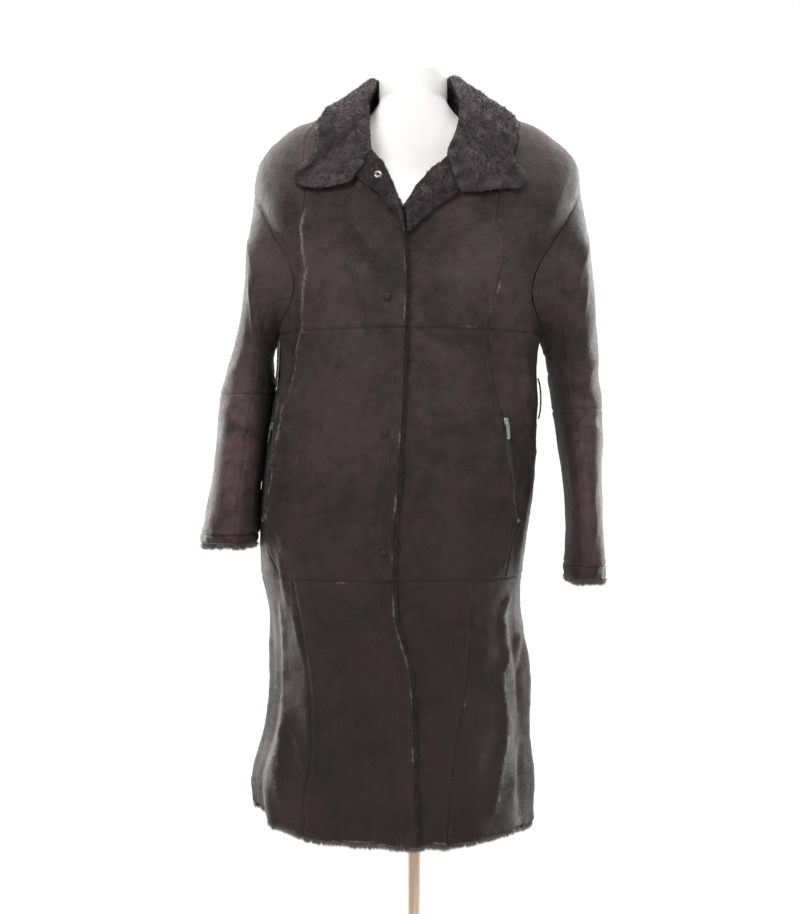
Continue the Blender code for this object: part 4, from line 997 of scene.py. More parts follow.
def collar_sections():
    """A closed section at each fine station: the path foot, crest, bulge and edge as a
    smooth curve, with a thickness that rounds off at the edge and at the collar's ends."""
    stations = collar_stations()
    at = np.linspace(0, len(stations) - 1, COLLAR_STEPS)
    columns = np.moveaxis(smooth_rows(stations, at), -1, 0)
    crest = np.stack(columns[:3], -1)
    edge_turn, edge_level, foot_turn, foot_level, laid = columns[3:]
    lap = lap_lift(edge_turn, edge_level) * (edge_turn > -0.3)
    edge = coat_point(edge_turn, edge_level, lap + COLLAR_GAP + 0.5 * COLLAR_THICK)
    foot_out = laid * (2 * COLLAR_GAP + 0.5 * STAND_THICK) - (1 - laid) * 0.1 * STAND_THICK
    foot = coat_point(foot_turn, np.minimum(foot_level, NECK), foot_out)
    foot[:, 2] += (1 - laid) * FOOT_RISE
    away, stand = edge - crest, foot - crest
    bulge = -unit(np.cross(np.cross(away, stand), away))
    high = COLLAR_BULGE * np.minimum(1.0, np.linalg.norm(away, axis=1) / 0.08)[:, None]
    path = np.stack([foot, foot * 0.45 + crest * 0.55, crest - away * 0.02,
                     crest + away * 0.22 + bulge * high * 0.8,
                     crest + away * 0.50 + bulge * high,
                     crest + away * 0.80 + bulge * high * 0.5, edge], 1)
    keys = np.arange(7.0)
    half_count = COLLAR_ROUND // 2
    place = np.linspace(0, 6, half_count)
    flat = np.column_stack([keys, np.moveaxis(path, 1, 0).reshape(7, -1)])
    curve = np.moveaxis(smooth_rows(flat, place).reshape(half_count, len(at), 3), 1, 0)
    across = unit(np.cross(stand, away))[:, None]
    side = unit(np.cross(np.gradient(curve, axis=1), across))
    half = 0.5 * np.interp(place, [0, 1, 3], [STAND_THICK, STAND_THICK, COLLAR_THICK])
    half = half * np.sqrt(np.clip(1 - np.clip((place - 5.45) / 0.56, 0, 1) ** 2, 0.02, 1))
    station = np.linspace(0, 1, len(at))
    ends = np.minimum(station, 1 - station) / 0.025
    ends = np.sqrt(np.clip(1 - (1 - np.clip(ends, 0.04, 1)) ** 2, 0, 1))
    half = half[None, :, None] * ends[:, None, None]
    return np.concatenate([curve + side * half, (curve - side * half)[:, ::-1]], 1)


def fur_relief(points, seed):
    """Clumps of clipped pile: ripples of three sizes through space."""
    x, y, z = np.moveaxis(points, -1, 0)
    return (0.0012 * ripple(x + 0.6 * y, z - 0.5 * y, seed, 0.026, 12)
            + 0.0004 * ripple(x - 0.8 * y, z + 0.7 * y, seed + 1, 0.011, 14))


def grid_normals(points, round_way=False):
    """Normals of a grid of points from its own steps, both ways."""
    if round_way:
        across = np.roll(points, -1, 1) - np.roll(points, 1, 1)
    else:
        across = np.gradient(points, axis=1)
    return unit(np.cross(across, np.gradient(points, axis=0)))


def make_collar():
    """The turned-down fur collar, its pile on both faces, closed at both ends."""
    rings = collar_sections()
    normal = grid_normals(rings, True)
    centre = rings.mean(1, keepdims=True)
    if np.sum(normal * (rings - centre)) < 0:
        normal = -normal
    rings = rings + normal * fur_relief(rings, 71)[..., None]
    rows, columns = rings.shape[:2]
    faces = grid_faces(rows, columns, 0, True)
    points = rings.reshape(-1, 3)
    faces = face_outwards(points, faces).tolist()
    caps = [list(range(columns)), list(range((rows - 1) * columns, rows * columns))]
    first = np.array(faces[0])
    caps = [caps[0][::-1], caps[1]] if (first[1] - first[0]) % columns == 1 else [
        caps[0], caps[1][::-1]]
    tone = np.clip(0.5 + 260 * fur_relief(rings, 71), 0, 1)
    piece = new_piece("collar_pelt", points, faces + caps, [FUR], None, tone.ravel())
    pile = []
    for part, (low, high) in enumerate(((0, 0.5), (0.5, 1.0))):
        span = slice(int(low * (rows - 1)), int(high * (rows - 1)) + 1)
        pile.append(tufts(f"collar_pile_{part + 1}", rings[span], normal[span], 19000,
                          0.0036, 0.0011, 81 + part, FUR, lean=(0, -0.15, -0.45)))
    finish_piece(piece, "collar", slot="fur")
    for tuft in pile:
        finish_piece(tuft, slot="fur")


def tufts(name, grid, normals, count, length, width, seed, finish, lean=(0, 0, 0),
          spread=0.42):
    """Locks of pile: narrow three-sided cones of four faces, their tips hanging over,
    rooted at random places of a grid, as many on each cell as its area asks. A lock points
    along the normal plus a lean plus a random part."""
    rng = np.random.default_rng(seed)
    corner = grid[1:, 1:] - grid[:-1, :-1]
    other = grid[1:, :-1] - grid[:-1, 1:]
    area = np.linalg.norm(np.cross(corner, other), axis=-1)
    share = np.cumsum(area.ravel())
    cell = np.searchsorted(share, rng.uniform(0, share[-1], count))
    i, j = np.unravel_index(np.minimum(cell, area.size - 1), area.shape)
    a, b = rng.uniform(0, 1, (2, count, 1))

    def blend(values):
        return (values[i, j] * (1 - a) * (1 - b) + values[i, j + 1] * a * (1 - b)
                + values[i + 1, j] * (1 - a) * b + values[i + 1, j + 1] * a * b)
    root, out = blend(grid), unit(blend(normals))
    clump = np.stack([ripple(root[:, 0] + k, root[:, 2] - root[:, 1], seed + k, CLUMP)
                      for k in range(3)], -1)
    way = unit(out + np.array(lean) + spread * rng.normal(0, 1, (count, 3)) * 0.7
               + 0.35 * clump)
    tall = (length * rng.uniform(0.65, 1.25, (count, 1)))
    side = unit(np.cross(way, rng.normal(0, 1, (count, 3))))
    third = np.cross(way, side)
    bend = unit(way + np.array([0, 0, -0.30]) + 0.35 * rng.normal(0, 1, (count, 3)))
    tip = root + way * tall * 0.55 + bend * tall * 0.5
    base = root - out * 0.0008
    angles = np.arange(3) * 2 * math.pi / 3
    round_about = (np.cos(angles)[None, :, None] * side[:, None]
                   + np.sin(angles)[None, :, None] * third[:, None])
    low = base[:, None] + round_about * width * LOCK_FULL
    points = np.concatenate([low, tip[:, None]], 1).reshape(-1, 3)
    corners = np.array([[0, 1, 3], [1, 2, 3], [2, 0, 3], [2, 1, 0]])
    faces = (np.arange(count)[:, None, None] * 4 + corners[None]).reshape(-1, 3)
    tone = np.repeat(rng.uniform(0, 1, count), 4).reshape(-1, 4)
    tone = tone * 0.6 + np.array([0, 0, 0, 0.4])
    return new_piece(name, points, faces.tolist(), [finish], None,
                     tone.ravel(), 180)


def make_facings():
    """The fur facings turned out beside the neck opening, lying on the fronts."""
    for side in ("R", "L"):
        free, fold = on_front(FACING_FREE_EDGE[side]), on_front(FACING_FOLD[side])
        key = np.linspace(0, 1, len(free))
        t = np.linspace(0, 1, 44)
        free = np.stack([np.interp(t, key, free[:, k]) for k in (0, 1)], -1)
        fold = np.stack([np.interp(t, key, fold[:, k]) for k in (0, 1)], -1)
        across = np.linspace(0, 1, 24)[None, :, None]
        place = free[:, None] * (1 - across) + fold[:, None] * across
        turn, level = place[..., 0], place[..., 1]
        lift = lap_lift(turn, level) if side == "R" else np.zeros(turn.shape)
        pile = np.interp(across[0, :, 0], [0, 1 / 3, 2 / 3, 1], [0.55, 1.0, 1.0, 0.7])
        pile = pile[None, :] * FACING_THICK[side]
        outer = coat_point(turn, level, lift + FACE_GAP + pile)
        outer = outer + coat_normal(turn, level) * fur_relief(outer, 91)[..., None] * 0.8
        inner = coat_point(turn, level, lift + FACE_GAP + 0.0006)
        tone = np.clip(0.5 + 260 * fur_relief(outer, 91), 0, 1)
        piece = wall(f"facing_{side}_pelt", outer, inner, [FUR_FACING_PAINTED_LIGHT], tone)
        way = coat_normal(turn, level)
        borders = np.concatenate([inner[:, :1], outer, inner[:, -1:]], 1)
        ways = np.concatenate([way[:, :1] + unit(outer[:, :1] - outer[:, 1:2]), way,
                               way[:, -1:] + unit(outer[:, -1:] - outer[:, -2:-1])], 1)
        hair = tufts(f"facing_{side}_pile", borders, unit(ways), 3400, 0.0038, 0.0011, 95,
                     FUR_FACING_PAINTED_LIGHT, lean=(0, -0.1, -0.35), spread=0.55)
        finish_piece(piece, f"facing_{side}", slot="fur")
        finish_piece(hair, slot="fur")


def make_edge_fur():
    """The pile that shows past the leather: at the hem, down the right front's edge, and
    under the cuffs."""
    parts = [("hem", "first", [n for n in SURFACES if "_lower_" in n and n[0] in "fb"],
              13000, 0.0092, (0, 0, -0.9), FUR_EDGE_PALE_AND_LIT),
             ("front_edge", "high", [f"front_{t}_centre_R" for t in ("lower", "middle", "upper")],
              9500, 0.0052, (0.9, -0.15, -0.25), FUR)]
    for label, border, nodes, count, length, lean, finish in parts:
        for k, node in enumerate(nodes):
            outer, inner = SURFACES[node]
            if border == "first":
                strip = np.stack([outer[0], 0.5 * (outer[0] + inner[0]), inner[0]])
            else:
                strip = np.stack([outer[:, -1], 0.5 * (outer[:, -1] + inner[:, -1]),
                                  inner[:, -1]])
            strip[0] = strip[0] * 0.75 + strip[1] * 0.25
            out = unit(np.zeros(strip.shape) + np.array(lean))
            size = np.linalg.norm(np.diff(strip[1], axis=0), axis=1).sum()
            locks = tufts(f"{label}_fur_{node}", strip, out, int(size * count), length,
                          0.0011, 400 + k, finish, spread=0.5)
            finish_piece(locks, slot="fur")
    for side in ("R", "L"):
        outer, inner = SURFACES[f"cuff_{side}"]
        closed = [np.concatenate([g, g[:, :1]], 1) for g in (outer, inner)]
        strip = np.stack([0.7 * closed[0][0] + 0.3 * closed[1][0],
                          0.4 * closed[0][0] + 0.6 * closed[1][0], closed[1][0]])
        out = unit(np.zeros(strip.shape) + np.array([0, 0, -1.0]))
        locks = tufts(f"cuff_{side}_fur", strip, out, 4200, 0.0085, 0.0012, 440, FUR_EDGE_PALE_AND_LIT,
                      spread=0.5)
        finish_piece(locks, slot="fur")


# ---- Stitches

STITCH_ROWS = []        # arrays of stitch ends and their outward normals


def add_stitches(points, normals, sunk=0.0001):
    """Stitches along a line: its arc length cut at an even pitch, each stitch a short run
    with a gap after it."""
    step = np.linalg.norm(np.diff(points, axis=0), axis=1)
    run = np.concatenate([[0], np.cumsum(step)])
    count = max(1, int(run[-1] / STITCH_PITCH))
    start = np.arange(count) * STITCH_PITCH
    ends = []
    for place in (start, start + STITCH_LENGTH):
        at = np.stack([np.interp(place, run, points[:, k]) for k in range(3)], -1)
        out = unit(np.stack([np.interp(place, run, normals[:, k]) for k in range(3)], -1))
        ends.append(at - out * sunk)
    STITCH_ROWS.append((ends[0], ends[1], out))


def make_thread(name, rows):
    """All stitches as one mesh: each a thin six-sided run, sunk at its ends and swelling in
    the middle."""
    first = np.concatenate([r[0] for r in rows])
    last = np.concatenate([r[1] for r in rows])
    out = np.concatenate([r[2] for r in rows])
    way = unit(last - first)
    across = unit(np.cross(out, way))
    up = np.cross(way, across)
    count = len(first)
    angles = np.arange(5) * 2 * math.pi / 5
    ring = (np.cos(angles)[None, :, None] * across[:, None]
            + np.sin(angles)[None, :, None] * up[:, None])
    middle = 0.5 * (first + last)
    a = first[:, None] * 0.7 + middle[:, None] * 0.3 + ring * STITCH_THICK * 0.45
    b = last[:, None] * 0.7 + middle[:, None] * 0.3 + ring * STITCH_THICK * 0.45
    points = np.concatenate([first[:, None] - out[:, None] * 0.0004, a, b,
                             last[:, None] - out[:, None] * 0.0004], 1).reshape(-1, 3)
    start = np.arange(count)[:, None] * 12
    k = np.arange(5)
    near = np.concatenate([start + np.array([0, 1 + (i + 1) % 5, 1 + i]) for i in k])
    far = np.concatenate([start + np.array([11, 6 + i, 6 + (i + 1) % 5]) for i in k])
    quads = np.concatenate([start + np.array([1 + i, 1 + (i + 1) % 5, 6 + (i + 1) % 5, 6 + i])
                            for i in k])
    piece = new_piece(name, points, near.tolist() + far.tolist() + quads.tolist(), [THREAD])
    finish_piece(piece)
    return piece


def border_line(node, border, inset):
    """A line on a panel's outer face, a distance in from one of its borders, and the face's
    normals there."""
    outer = SURFACES[node][0]
    normal = grid_normals(outer)
    base = SURFACES[node][1]
    if np.mean(np.sum(normal * (outer - base), -1)) < 0:
        normal = -normal
    away = distances(outer)[border][0]
    if border in ("first", "last"):
        outer, normal, away = (np.swapaxes(v, 0, 1) for v in (outer, normal, away))
    if border in ("high", "last"):
        outer, normal, away = outer[:, ::-1], normal[:, ::-1], away[:, ::-1]
    points, ways = [], []
    for row in range(len(outer)):
        points.append([np.interp(inset, away[row], outer[row, :, k]) for k in range(3)])
        ways.append([np.interp(inset, away[row], normal[row, :, k]) for k in range(3)])
    return np.array(points), np.array(ways)


def make_stitches():
    """Top stitching: one row above each tier seam and beside each long seam, two rows down
    the right front's edge and one at its placket, one round each armhole and cuff."""
    for side in ("R", "L"):
        for tier in ("lower", "middle", "upper"):
            centre, flank = f"front_{tier}_centre_{side}", f"front_{tier}_side_{side}"
            add_stitches(*border_line(centre, "low" if side == "R" else "high", TOPSTITCH))
            if tier != "upper":
                add_stitches(*border_line(centre, "last", TOPSTITCH))
                add_stitches(*border_line(flank, "last", TOPSTITCH))
                add_stitches(*border_line(f"back_{tier}_side_{side}", "last", TOPSTITCH))
            add_stitches(*border_line(flank, "low" if side == "R" else "high", TOPSTITCH))
        for tier in ("upper", "lower"):
            for half in ("top", "under"):
                add_stitches(*border_line(f"sleeve_{tier}_{half}_{side}", "last", TOPSTITCH))
            add_stitches(*border_line(f"sleeve_{tier}_top_{side}", "high", TOPSTITCH))
            add_stitches(*border_line(f"sleeve_{tier}_top_{side}", "low", TOPSTITCH))
        add_stitches(*border_line(f"sleeve_upper_top_{side}", "first", TOPSTITCH))
    for tier in ("lower", "middle", "upper"):
        for inset in (0.0030, 0.0085, 0.0240):
            add_stitches(*border_line(f"front_{tier}_centre_R", "high", inset))
        for border in ("low", "high"):
            add_stitches(*border_line(f"back_{tier}_centre", border, TOPSTITCH))
    for tier in ("lower", "middle"):
        add_stitches(*border_line(f"back_{tier}_centre", "last", TOPSTITCH))
    make_thread("topstitching", STITCH_ROWS)


# ---- Zips, snaps and loops

def frame_on_coat(x, z, way, lift=0.0):
    """Place and axes on the front: origin, along the way downwards, across, and outwards."""
    turn, level = on_front([(x, z)])[0]
    turn, level = np.array(turn), np.array(level)
    base = coat_point(turn, level, np.array(lift))
    out = coat_normal(turn, level)
    along = unit(np.array(way, float) - out * np.dot(way, out))
    return base, along, np.cross(out, along), out


def placed(frame, points, rise=0.0, shift=0.0):
    """Points given as (across, along, out) in a frame, as places."""
    base, along, across, out = frame
    return (base + points[..., 0:1] * across + (points[..., 1:2] + shift) * along
            + (points[..., 2:3] + rise) * out)


def lofted(name, frame, rings, finish, rise, shift=0.0):
    """A closed piece through rings of points, its first and last ring closed by a face."""
    points = placed(frame, rings, rise, shift)
    rows, columns = points.shape[:2]
    faces = grid_faces(rows, columns, 0, True)
    flat = points.reshape(-1, 3)
    quads = face_outwards(flat, faces)
    caps = [list(range(columns)), list(range((rows - 1) * columns, rows * columns))]
    straight = np.array_equal(quads, faces)
    caps = [caps[0][::-1], caps[1]] if straight else [caps[0], caps[1][::-1]]
    return new_piece(name, flat, quads.tolist() + caps, [finish], sharp=40)


def round_bar(width, height, length, taper=1.0, power=4.0, steps=13, columns=28):
    """Rings of a rounded bar: each section a superellipse |x|^p + |y|^p = 1, narrowing to
    nothing at its underside and top by a quarter circle, and by taper along its length."""
    angle = np.linspace(0, 2 * math.pi, columns + 1)[:-1]
    shape_x = np.sign(np.cos(angle)) * np.abs(np.cos(angle)) ** (2 / power)
    shape_y = np.sign(np.sin(angle)) * np.abs(np.sin(angle)) ** (2 / power)
    level = np.linspace(0, 1, steps)
    inset = 0.12 * width * (1 - np.sqrt(np.clip(1 - (2 * level - 1) ** 6, 0, 1)))
    x = (0.5 * width - inset[:, None]) * shape_x[None]
    y = (0.5 * length - inset[:, None]) * shape_y[None]
    x = x * (1 + (taper - 1) * (0.5 + y / length))
    z = np.repeat((level * height)[:, None], columns, 1)
    return np.stack([x, y, z], -1)


def holed_plate(width, length, thick, hole_width, hole_length, hole_at, columns=36):
    """A plate with round ends and a slot: four stadium outlines joined in a ring, outer and
    hole, top and underside, with a small bevel on the outer edge."""
    angle = np.linspace(0, 2 * math.pi, columns + 1)[:-1]

    def stadium(wide, long, middle):
        straight = max(long - wide, 0) / 2
        return np.stack([0.5 * wide * np.cos(angle),
                         middle + 0.5 * wide * np.sin(angle) + np.sign(np.sin(angle)) * straight],
                        -1)
    bevel = 0.22 * thick
    outer = stadium(width, length, 0)
    outer_in = stadium(width - 2 * bevel, length - 2 * bevel, 0)
    hole = stadium(hole_width, hole_length, hole_at)
    rings = [(hole, 0), (outer_in, 0), (outer, bevel), (outer, thick - bevel),
             (outer_in, thick), (hole, thick)]
    return np.stack([np.column_stack([xy, np.full(columns, z)]) for xy, z in rings])


def ring_of_rings(name, frame, rings, finish, rise, shift=0.0):
    """A piece through rings that close on themselves, as a ring or a plate with a hole."""
    points = placed(frame, rings, rise, shift)
    points = np.concatenate([points, points[:1]])
    rows, columns = points.shape[:2]
    flat = points[:-1].reshape(-1, 3)
    faces = grid_faces(rows, columns, 0, True) % len(flat)
    return new_piece(name, flat, face_outwards(flat, faces).tolist(), [finish], sharp=35)


def make_zips():
    """The slanted pocket zips: woven tape, two rows of teeth, slider with its bridge, a
    hanging pull tab and an end stop."""
    for side in ("R", "L"):
        (top_x, top_z), (end_x, end_z) = ZIPS[side]
        t = np.linspace(0, 1, 101)
        middle = on_front(np.column_stack([top_x + (end_x - top_x) * t,
                                           top_z + (end_z - top_z) * t]))
        turn, level = middle[:, 0], middle[:, 1]
        normal = coat_normal(turn, level)
        centre = coat_point(turn, level, np.zeros(len(t)))
        way = np.gradient(centre, axis=0)
        across = unit(np.cross(normal, way))
        wide = np.linspace(-0.5, 0.5, 15) * ZIP_WIDTH
        face = centre[:, None] + across[:, None] * wide[None, :, None]
        inner = face + normal[:, None] * (LAY_GAP + TAPE_SEAT)
        arch = 0.0008 + 0.0010 * np.exp(-(wide / 0.0022) ** 4)
        outer = inner + normal[:, None] * arch[None, :, None]
        tape = wall(f"zip_tape_{side}", outer, inner, [TAPE])
        finish_piece(tape, f"pocket_zip_{side}", slot="zip_tape")
        run = np.concatenate([[0], np.cumsum(np.linalg.norm(np.diff(centre, axis=0), axis=1))])
        count = int(run[-1] / 0.0014)
        place = (np.arange(count) + 0.5) * run[-1] / count

        def at(values):
            return np.stack([np.interp(place, run, values[:, k]) for k in range(3)], -1)
        base, out, side_way = at(centre), unit(at(normal)), unit(at(across))
        along = np.cross(side_way, out)
        corner = np.array([[x, y, z] for z in (0, 1) for y in (-1, 1) for x in (-1, 1)], float)
        corner = corner[[0, 1, 3, 2, 4, 5, 7, 6]]
        narrow = np.where(corner[:, 2:3] > 0, 0.72, 1.0)
        size = np.array([0.0021, 0.00052, 0.0011])
        local = corner * np.concatenate([narrow, narrow, np.ones((8, 1))], 1) * size
        offset = np.where(np.arange(count) % 2 == 0, 0.0008, -0.0008)[:, None, None]
        teeth = (base[:, None] + side_way[:, None] * (local[None, :, 0:1] + offset)
                 + along[:, None] * local[None, :, 1:2]
                 + out[:, None] * (local[None, :, 2:3] + LAY_GAP + TAPE_SEAT + 0.0011))
        cube = np.array([[3, 2, 1, 0], [4, 5, 6, 7], [0, 1, 5, 4], [1, 2, 6, 5],
                         [2, 3, 7, 6], [3, 0, 4, 7]])
        faces = (np.arange(count)[:, None, None] * 8 + cube[None]).reshape(-1, 4)
        flat = teeth.reshape(-1, 3)
        row = new_piece(f"zip_teeth_{side}", flat, face_outwards(flat, faces).tolist(),
                        [STEEL_TEETH], sharp=30)
        finish_piece(row, slot="steel")
        rise = LAY_GAP + TAPE_SEAT + ZIP_THICK + 0.0003
        down = (end_x - top_x, 0, end_z - top_z)
        top = frame_on_coat(top_x + 0.06 * (end_x - top_x), top_z + 0.06 * (end_z - top_z),
                            down)
        slider = lofted(f"zip_slider_{side}_body", top,
                        round_bar(SLIDER[0], SLIDER[1] * 0.72, SLIDER[2], 0.72), STEEL, rise)
        finish_piece(slider, f"zip_slider_{side}", slot="steel")
        arc = np.linspace(0, math.pi, 15)
        ring = np.linspace(0, 2 * math.pi, 9)[:-1]
        reach, thick = 0.0046, 0.00055
        bridge = np.stack([
            np.broadcast_to(thick * 1.6 * np.cos(ring), (15, 8)),
            -reach * np.cos(arc)[:, None] * (1 + thick / reach * np.sin(ring)[None]),
            0.0013 * np.sin(arc)[:, None] ** 0.6 * (1 + 0.4 * np.sin(ring)[None])
            + SLIDER[1] * 0.62], -1)
        loop = lofted(f"zip_bridge_{side}", top, bridge, STEEL, rise)
        finish_piece(loop, slot="steel")
        plate = holed_plate(PULL[0], PULL[2], PULL[1], 0.0028, 0.0050, -0.0092)
        tab = ring_of_rings(f"zip_tab_{side}", top, plate, STEEL_TAB,
                            rise + SLIDER[1] + PULL_CLEAR, 0.5 * PULL[2] - PULL_STUB)
        finish_piece(tab, f"zip_pull_{side}", body=f"pull_{side}", slot="steel")
        end = frame_on_coat(top_x + 0.97 * (end_x - top_x), top_z + 0.97 * (end_z - top_z),
                            down)
        stop = lofted(f"zip_end_{side}", end, round_bar(*STOP), STEEL,
                      rise)
        finish_piece(stop, f"zip_stop_{side}", slot="steel")


def turned(name, frame, profile, finish, rise, hollow=False, columns=40):
    """A piece turned from a profile of (radius, height)."""
    angle = np.linspace(0, 2 * math.pi, columns + 1)[:-1]
    radius, height = np.array(profile).T
    rings = np.stack([radius[:, None] * np.cos(angle), radius[:, None] * np.sin(angle),
                      np.repeat(height[:, None], columns, 1)], -1)
    if hollow:
        return ring_of_rings(name, frame, rings, finish, rise)
    return lofted(name, frame, rings, finish, rise)


def make_snaps():
    """Three leather-covered caps down the right front and the open ring on its facing."""
    for i, (x, z) in enumerate(SNAPS):
        turn, level = (np.array(v) for v in on_front([(x, z)])[0])
        lift = lap_lift(turn, level)
        frame = frame_on_coat(x, z, (0, 0, -1), lift + body_relief(turn, level))
        s = np.linspace(0, 1, 14)
        dome = [(SNAP_RADIUS * 1.25, -0.0006), (SNAP_RADIUS * 1.12, 0.0002)] + [
            (SNAP_RADIUS * math.cos(a * math.pi / 2) ** 0.7 + 0.0001,
             CAP_SWELL * SNAP_HEIGHT * math.sin(a * math.pi / 2)) for a in s]
        cap = turned(f"snap_cover_{i + 1}", frame, dome, LEATHER_CAP, LAY_GAP)
        finish_piece(cap, f"snap_cap_{i + 1}")
    x, z = OPEN_SNAP
    turn, level = (np.array(v) for v in on_front([(x, z)])[0])
    lift = lap_lift(turn, level) + FACE_GAP + FACING_THICK["R"]
    frame = frame_on_coat(x, z, (0, 0, -1), lift)
    middle, half = 0.5 * (RING_RADIUS + RING_HOLE), 0.5 * (RING_RADIUS - RING_HOLE)
    a = np.linspace(0, 2 * math.pi, 19)[:-1]
    profile = np.column_stack([middle + half * np.cos(a),
                               0.5 * RING_HEIGHT * (1 + np.sin(a))])
    ring = turned("snap_ring", frame, profile, STEEL_AGED, LAY_GAP, hollow=True)
    finish_piece(ring, "snap_open", slot="steel")
    # The well inside the ring is near black: painted shade in the hole.
    well = turned("snap_well", frame, [(RING_HOLE + 0.0006, 0.0), (RING_HOLE + 0.0006, 0.0007),
                                       (RING_HOLE * 0.3, 0.0005)], SOCKET_PAINTED_SHADE, LAY_GAP)
    finish_piece(well, slot="steel")


def make_belt_loops():
    """A leather loop near each side seam: a bowed strip with rounded, rubbed edges."""
    for side in ("R", "L"):
        turn, level = BELT_LOOPS[side]
        t = np.linspace(-1, 1, 57)
        levels = level + LOOP_HALF * t
        turns = np.full(len(t), turn)
        normal = coat_normal(turns, levels)
        centre = coat_point(turns, levels, LOOP_OFF * (1 - t**4) - 0.0002)
        across = unit(np.cross(normal, np.gradient(centre, axis=0)))
        wide = np.linspace(-1, 1, 13)
        inner = centre[:, None] + across[:, None] * (wide * LOOP_WIDE)[None, :, None]
        inner = inner + normal[:, None] * 0.0006
        arch = LOOP_THICK * (0.35 + 0.65 * np.sqrt(np.clip(1 - wide**6, 0, 1)))
        crimp = 1 + 0.12 * ripple(t[:, None] * 0.036, wide[None] * 0.0065, 77, 0.008)
        outer = inner + normal[:, None] * (arch[None] * crimp)[..., None]
        worn = np.broadcast_to(0.35 + 0.65 * np.abs(wide) ** 3, outer.shape[:2])
        strip = wall(f"belt_loop_{side}_strip", outer, inner, [LEATHER, LEATHER_CAP], worn)
        finish_piece(strip, f"belt_loop_{side}")


# ---- Materials

class Tree:
    """A node tree being built: add() makes a node and links or sets its inputs by name."""

    def __init__(self, tree):
        self.tree = tree
        self.column = 0

    def feed(self, socket, value):
        """Link a socket to another one, or give it a value."""
        if isinstance(value, bpy.types.NodeSocket):
            self.tree.links.new(value, socket)
        else:
            socket.default_value = value

    def add(self, kind, inputs=None, **settings):
        node = self.tree.nodes.new(kind)
        node.location = (220 * self.column, 0)
        self.column += 1
        for key, value in settings.items():
            setattr(node, key, value)
        for key, value in (inputs or {}).items():
            self.feed(node.inputs[key], value)
        return node

    def mix(self, factor, first, second, blend="MIX"):
        node = self.add("ShaderNodeMix", data_type="RGBA", blend_type=blend)
        for socket, value in ((node.inputs[0], factor), (node.inputs[6], first),
                              (node.inputs[7], second)):
            self.feed(socket, value)
        return node.outputs[2]

    def math(self, operation, *values, clamp=False):
        node = self.add("ShaderNodeMath", operation=operation, use_clamp=clamp)
        for socket, value in zip(node.inputs, values):
            self.feed(socket, value)
        return node.outputs[0]

    def spread(self, value, low, high, to_low=0.0, to_high=1.0):
        node = self.add("ShaderNodeMapRange", {
            "Value": value, "From Min": low, "From Max": high, "To Min": to_low,
            "To Max": to_high}, interpolation_type="SMOOTHSTEP")
        return node.outputs["Result"]


def effect(name, inputs, outputs, fill):
    """A shader node group: inputs as (name, kind, default), outputs as (name, kind), and a
    function that fills it and gives the outputs' sockets in order."""
    group = bpy.data.node_groups.new(name, "ShaderNodeTree")
    for label, kind, default in inputs:
        socket = group.interface.new_socket(label, in_out="INPUT", socket_type=kind)
        if default is not None:
            socket.default_value = default
    for label, kind in outputs:
        group.interface.new_socket(label, in_out="OUTPUT", socket_type=kind)
    tree = Tree(group)
    start = tree.add("NodeGroupInput")
    results = fill(tree, start.outputs)
    end = tree.add("NodeGroupOutput")
    for (label, _), socket in zip(outputs, results):
        group.links.new(socket, end.inputs[label])
    return group


NUMBER, COLOUR, PLACE = "NodeSocketFloat", "NodeSocketColor", "NodeSocketVector"


def fill_cloud(tree, given):
    """Soft clouds of two sizes mixed, and their mask between two colours."""
    big = tree.add("ShaderNodeTexNoise", {"Vector": given["Place"], "Scale": given["Scale"],
                                          "Detail": 5.0, "Roughness": 0.55, "Distortion": 0.4})
    finer = tree.math("MULTIPLY", given["Scale"], 6.5)
    small = tree.add("ShaderNodeTexNoise", {"Vector": given["Place"], "Scale": finer,
                                            "Detail": 8.0, "Roughness": 0.7})
    both = tree.math("ADD", tree.math("MULTIPLY", big.outputs["Fac"], 0.55),
                     tree.math("MULTIPLY", small.outputs["Fac"], 0.45))
    mask = tree.spread(both, 0.36, 0.64)
    return tree.mix(mask, given["Low"], given["High"]), mask


def fill_grain(tree, given):
    """Leather grain: cells with furrows between them, broken by noise, and crinkle lines."""
    warp = tree.add("ShaderNodeTexNoise", {"Vector": given["Place"], "Scale": 60.0,
                                           "Detail": 3.0})
    bent = tree.add("ShaderNodeVectorMath", {0: warp.outputs["Color"], 1: (0.006,) * 3},
                    operation="MULTIPLY")
    place = tree.add("ShaderNodeVectorMath", {0: given["Place"], 1: bent.outputs[0]},
                     operation="ADD").outputs[0]
    cells = tree.add("ShaderNodeTexVoronoi", {"Vector": place, "Scale": given["Scale"],
                                              "Randomness": 1.0}, feature="DISTANCE_TO_EDGE")
    furrow = tree.spread(cells.outputs["Distance"], 0.0, 0.28)
    fine = tree.add("ShaderNodeTexNoise", {"Vector": place, "Scale": 900.0, "Detail": 4.0})
    lines = tree.add("ShaderNodeTexNoise", {"Vector": place, "Scale": 75.0, "Detail": 7.0,
                                            "Roughness": 0.62, "Distortion": 1.1})
    ridge = tree.math("ABSOLUTE", tree.math("SUBTRACT", lines.outputs["Fac"], 0.5))
    crinkle = tree.spread(ridge, 0.0, 0.14)
    height = tree.math("ADD", tree.math("MULTIPLY", furrow, 0.35),
                       tree.math("MULTIPLY", fine.outputs["Fac"], 0.22))
    height = tree.math("ADD", height, tree.math("MULTIPLY", crinkle, given["Crinkle"]))
    return height, furrow, crinkle


def fill_rub(tree, given):
    """Where the leather is paler: the worn mask, wear with painted highlight on ridges, broken up
    by noise.
    """
    noise = tree.add("ShaderNodeTexNoise", {"Vector": given["Place"], "Scale": 170.0,
                                            "Detail": 7.0, "Roughness": 0.68})
    broken = tree.math("ADD", given["Worn"], tree.math("MULTIPLY", tree.math(
        "SUBTRACT", noise.outputs["Fac"], 0.5), 1.5))
    return (tree.spread(broken, given["From"], 1.15),)


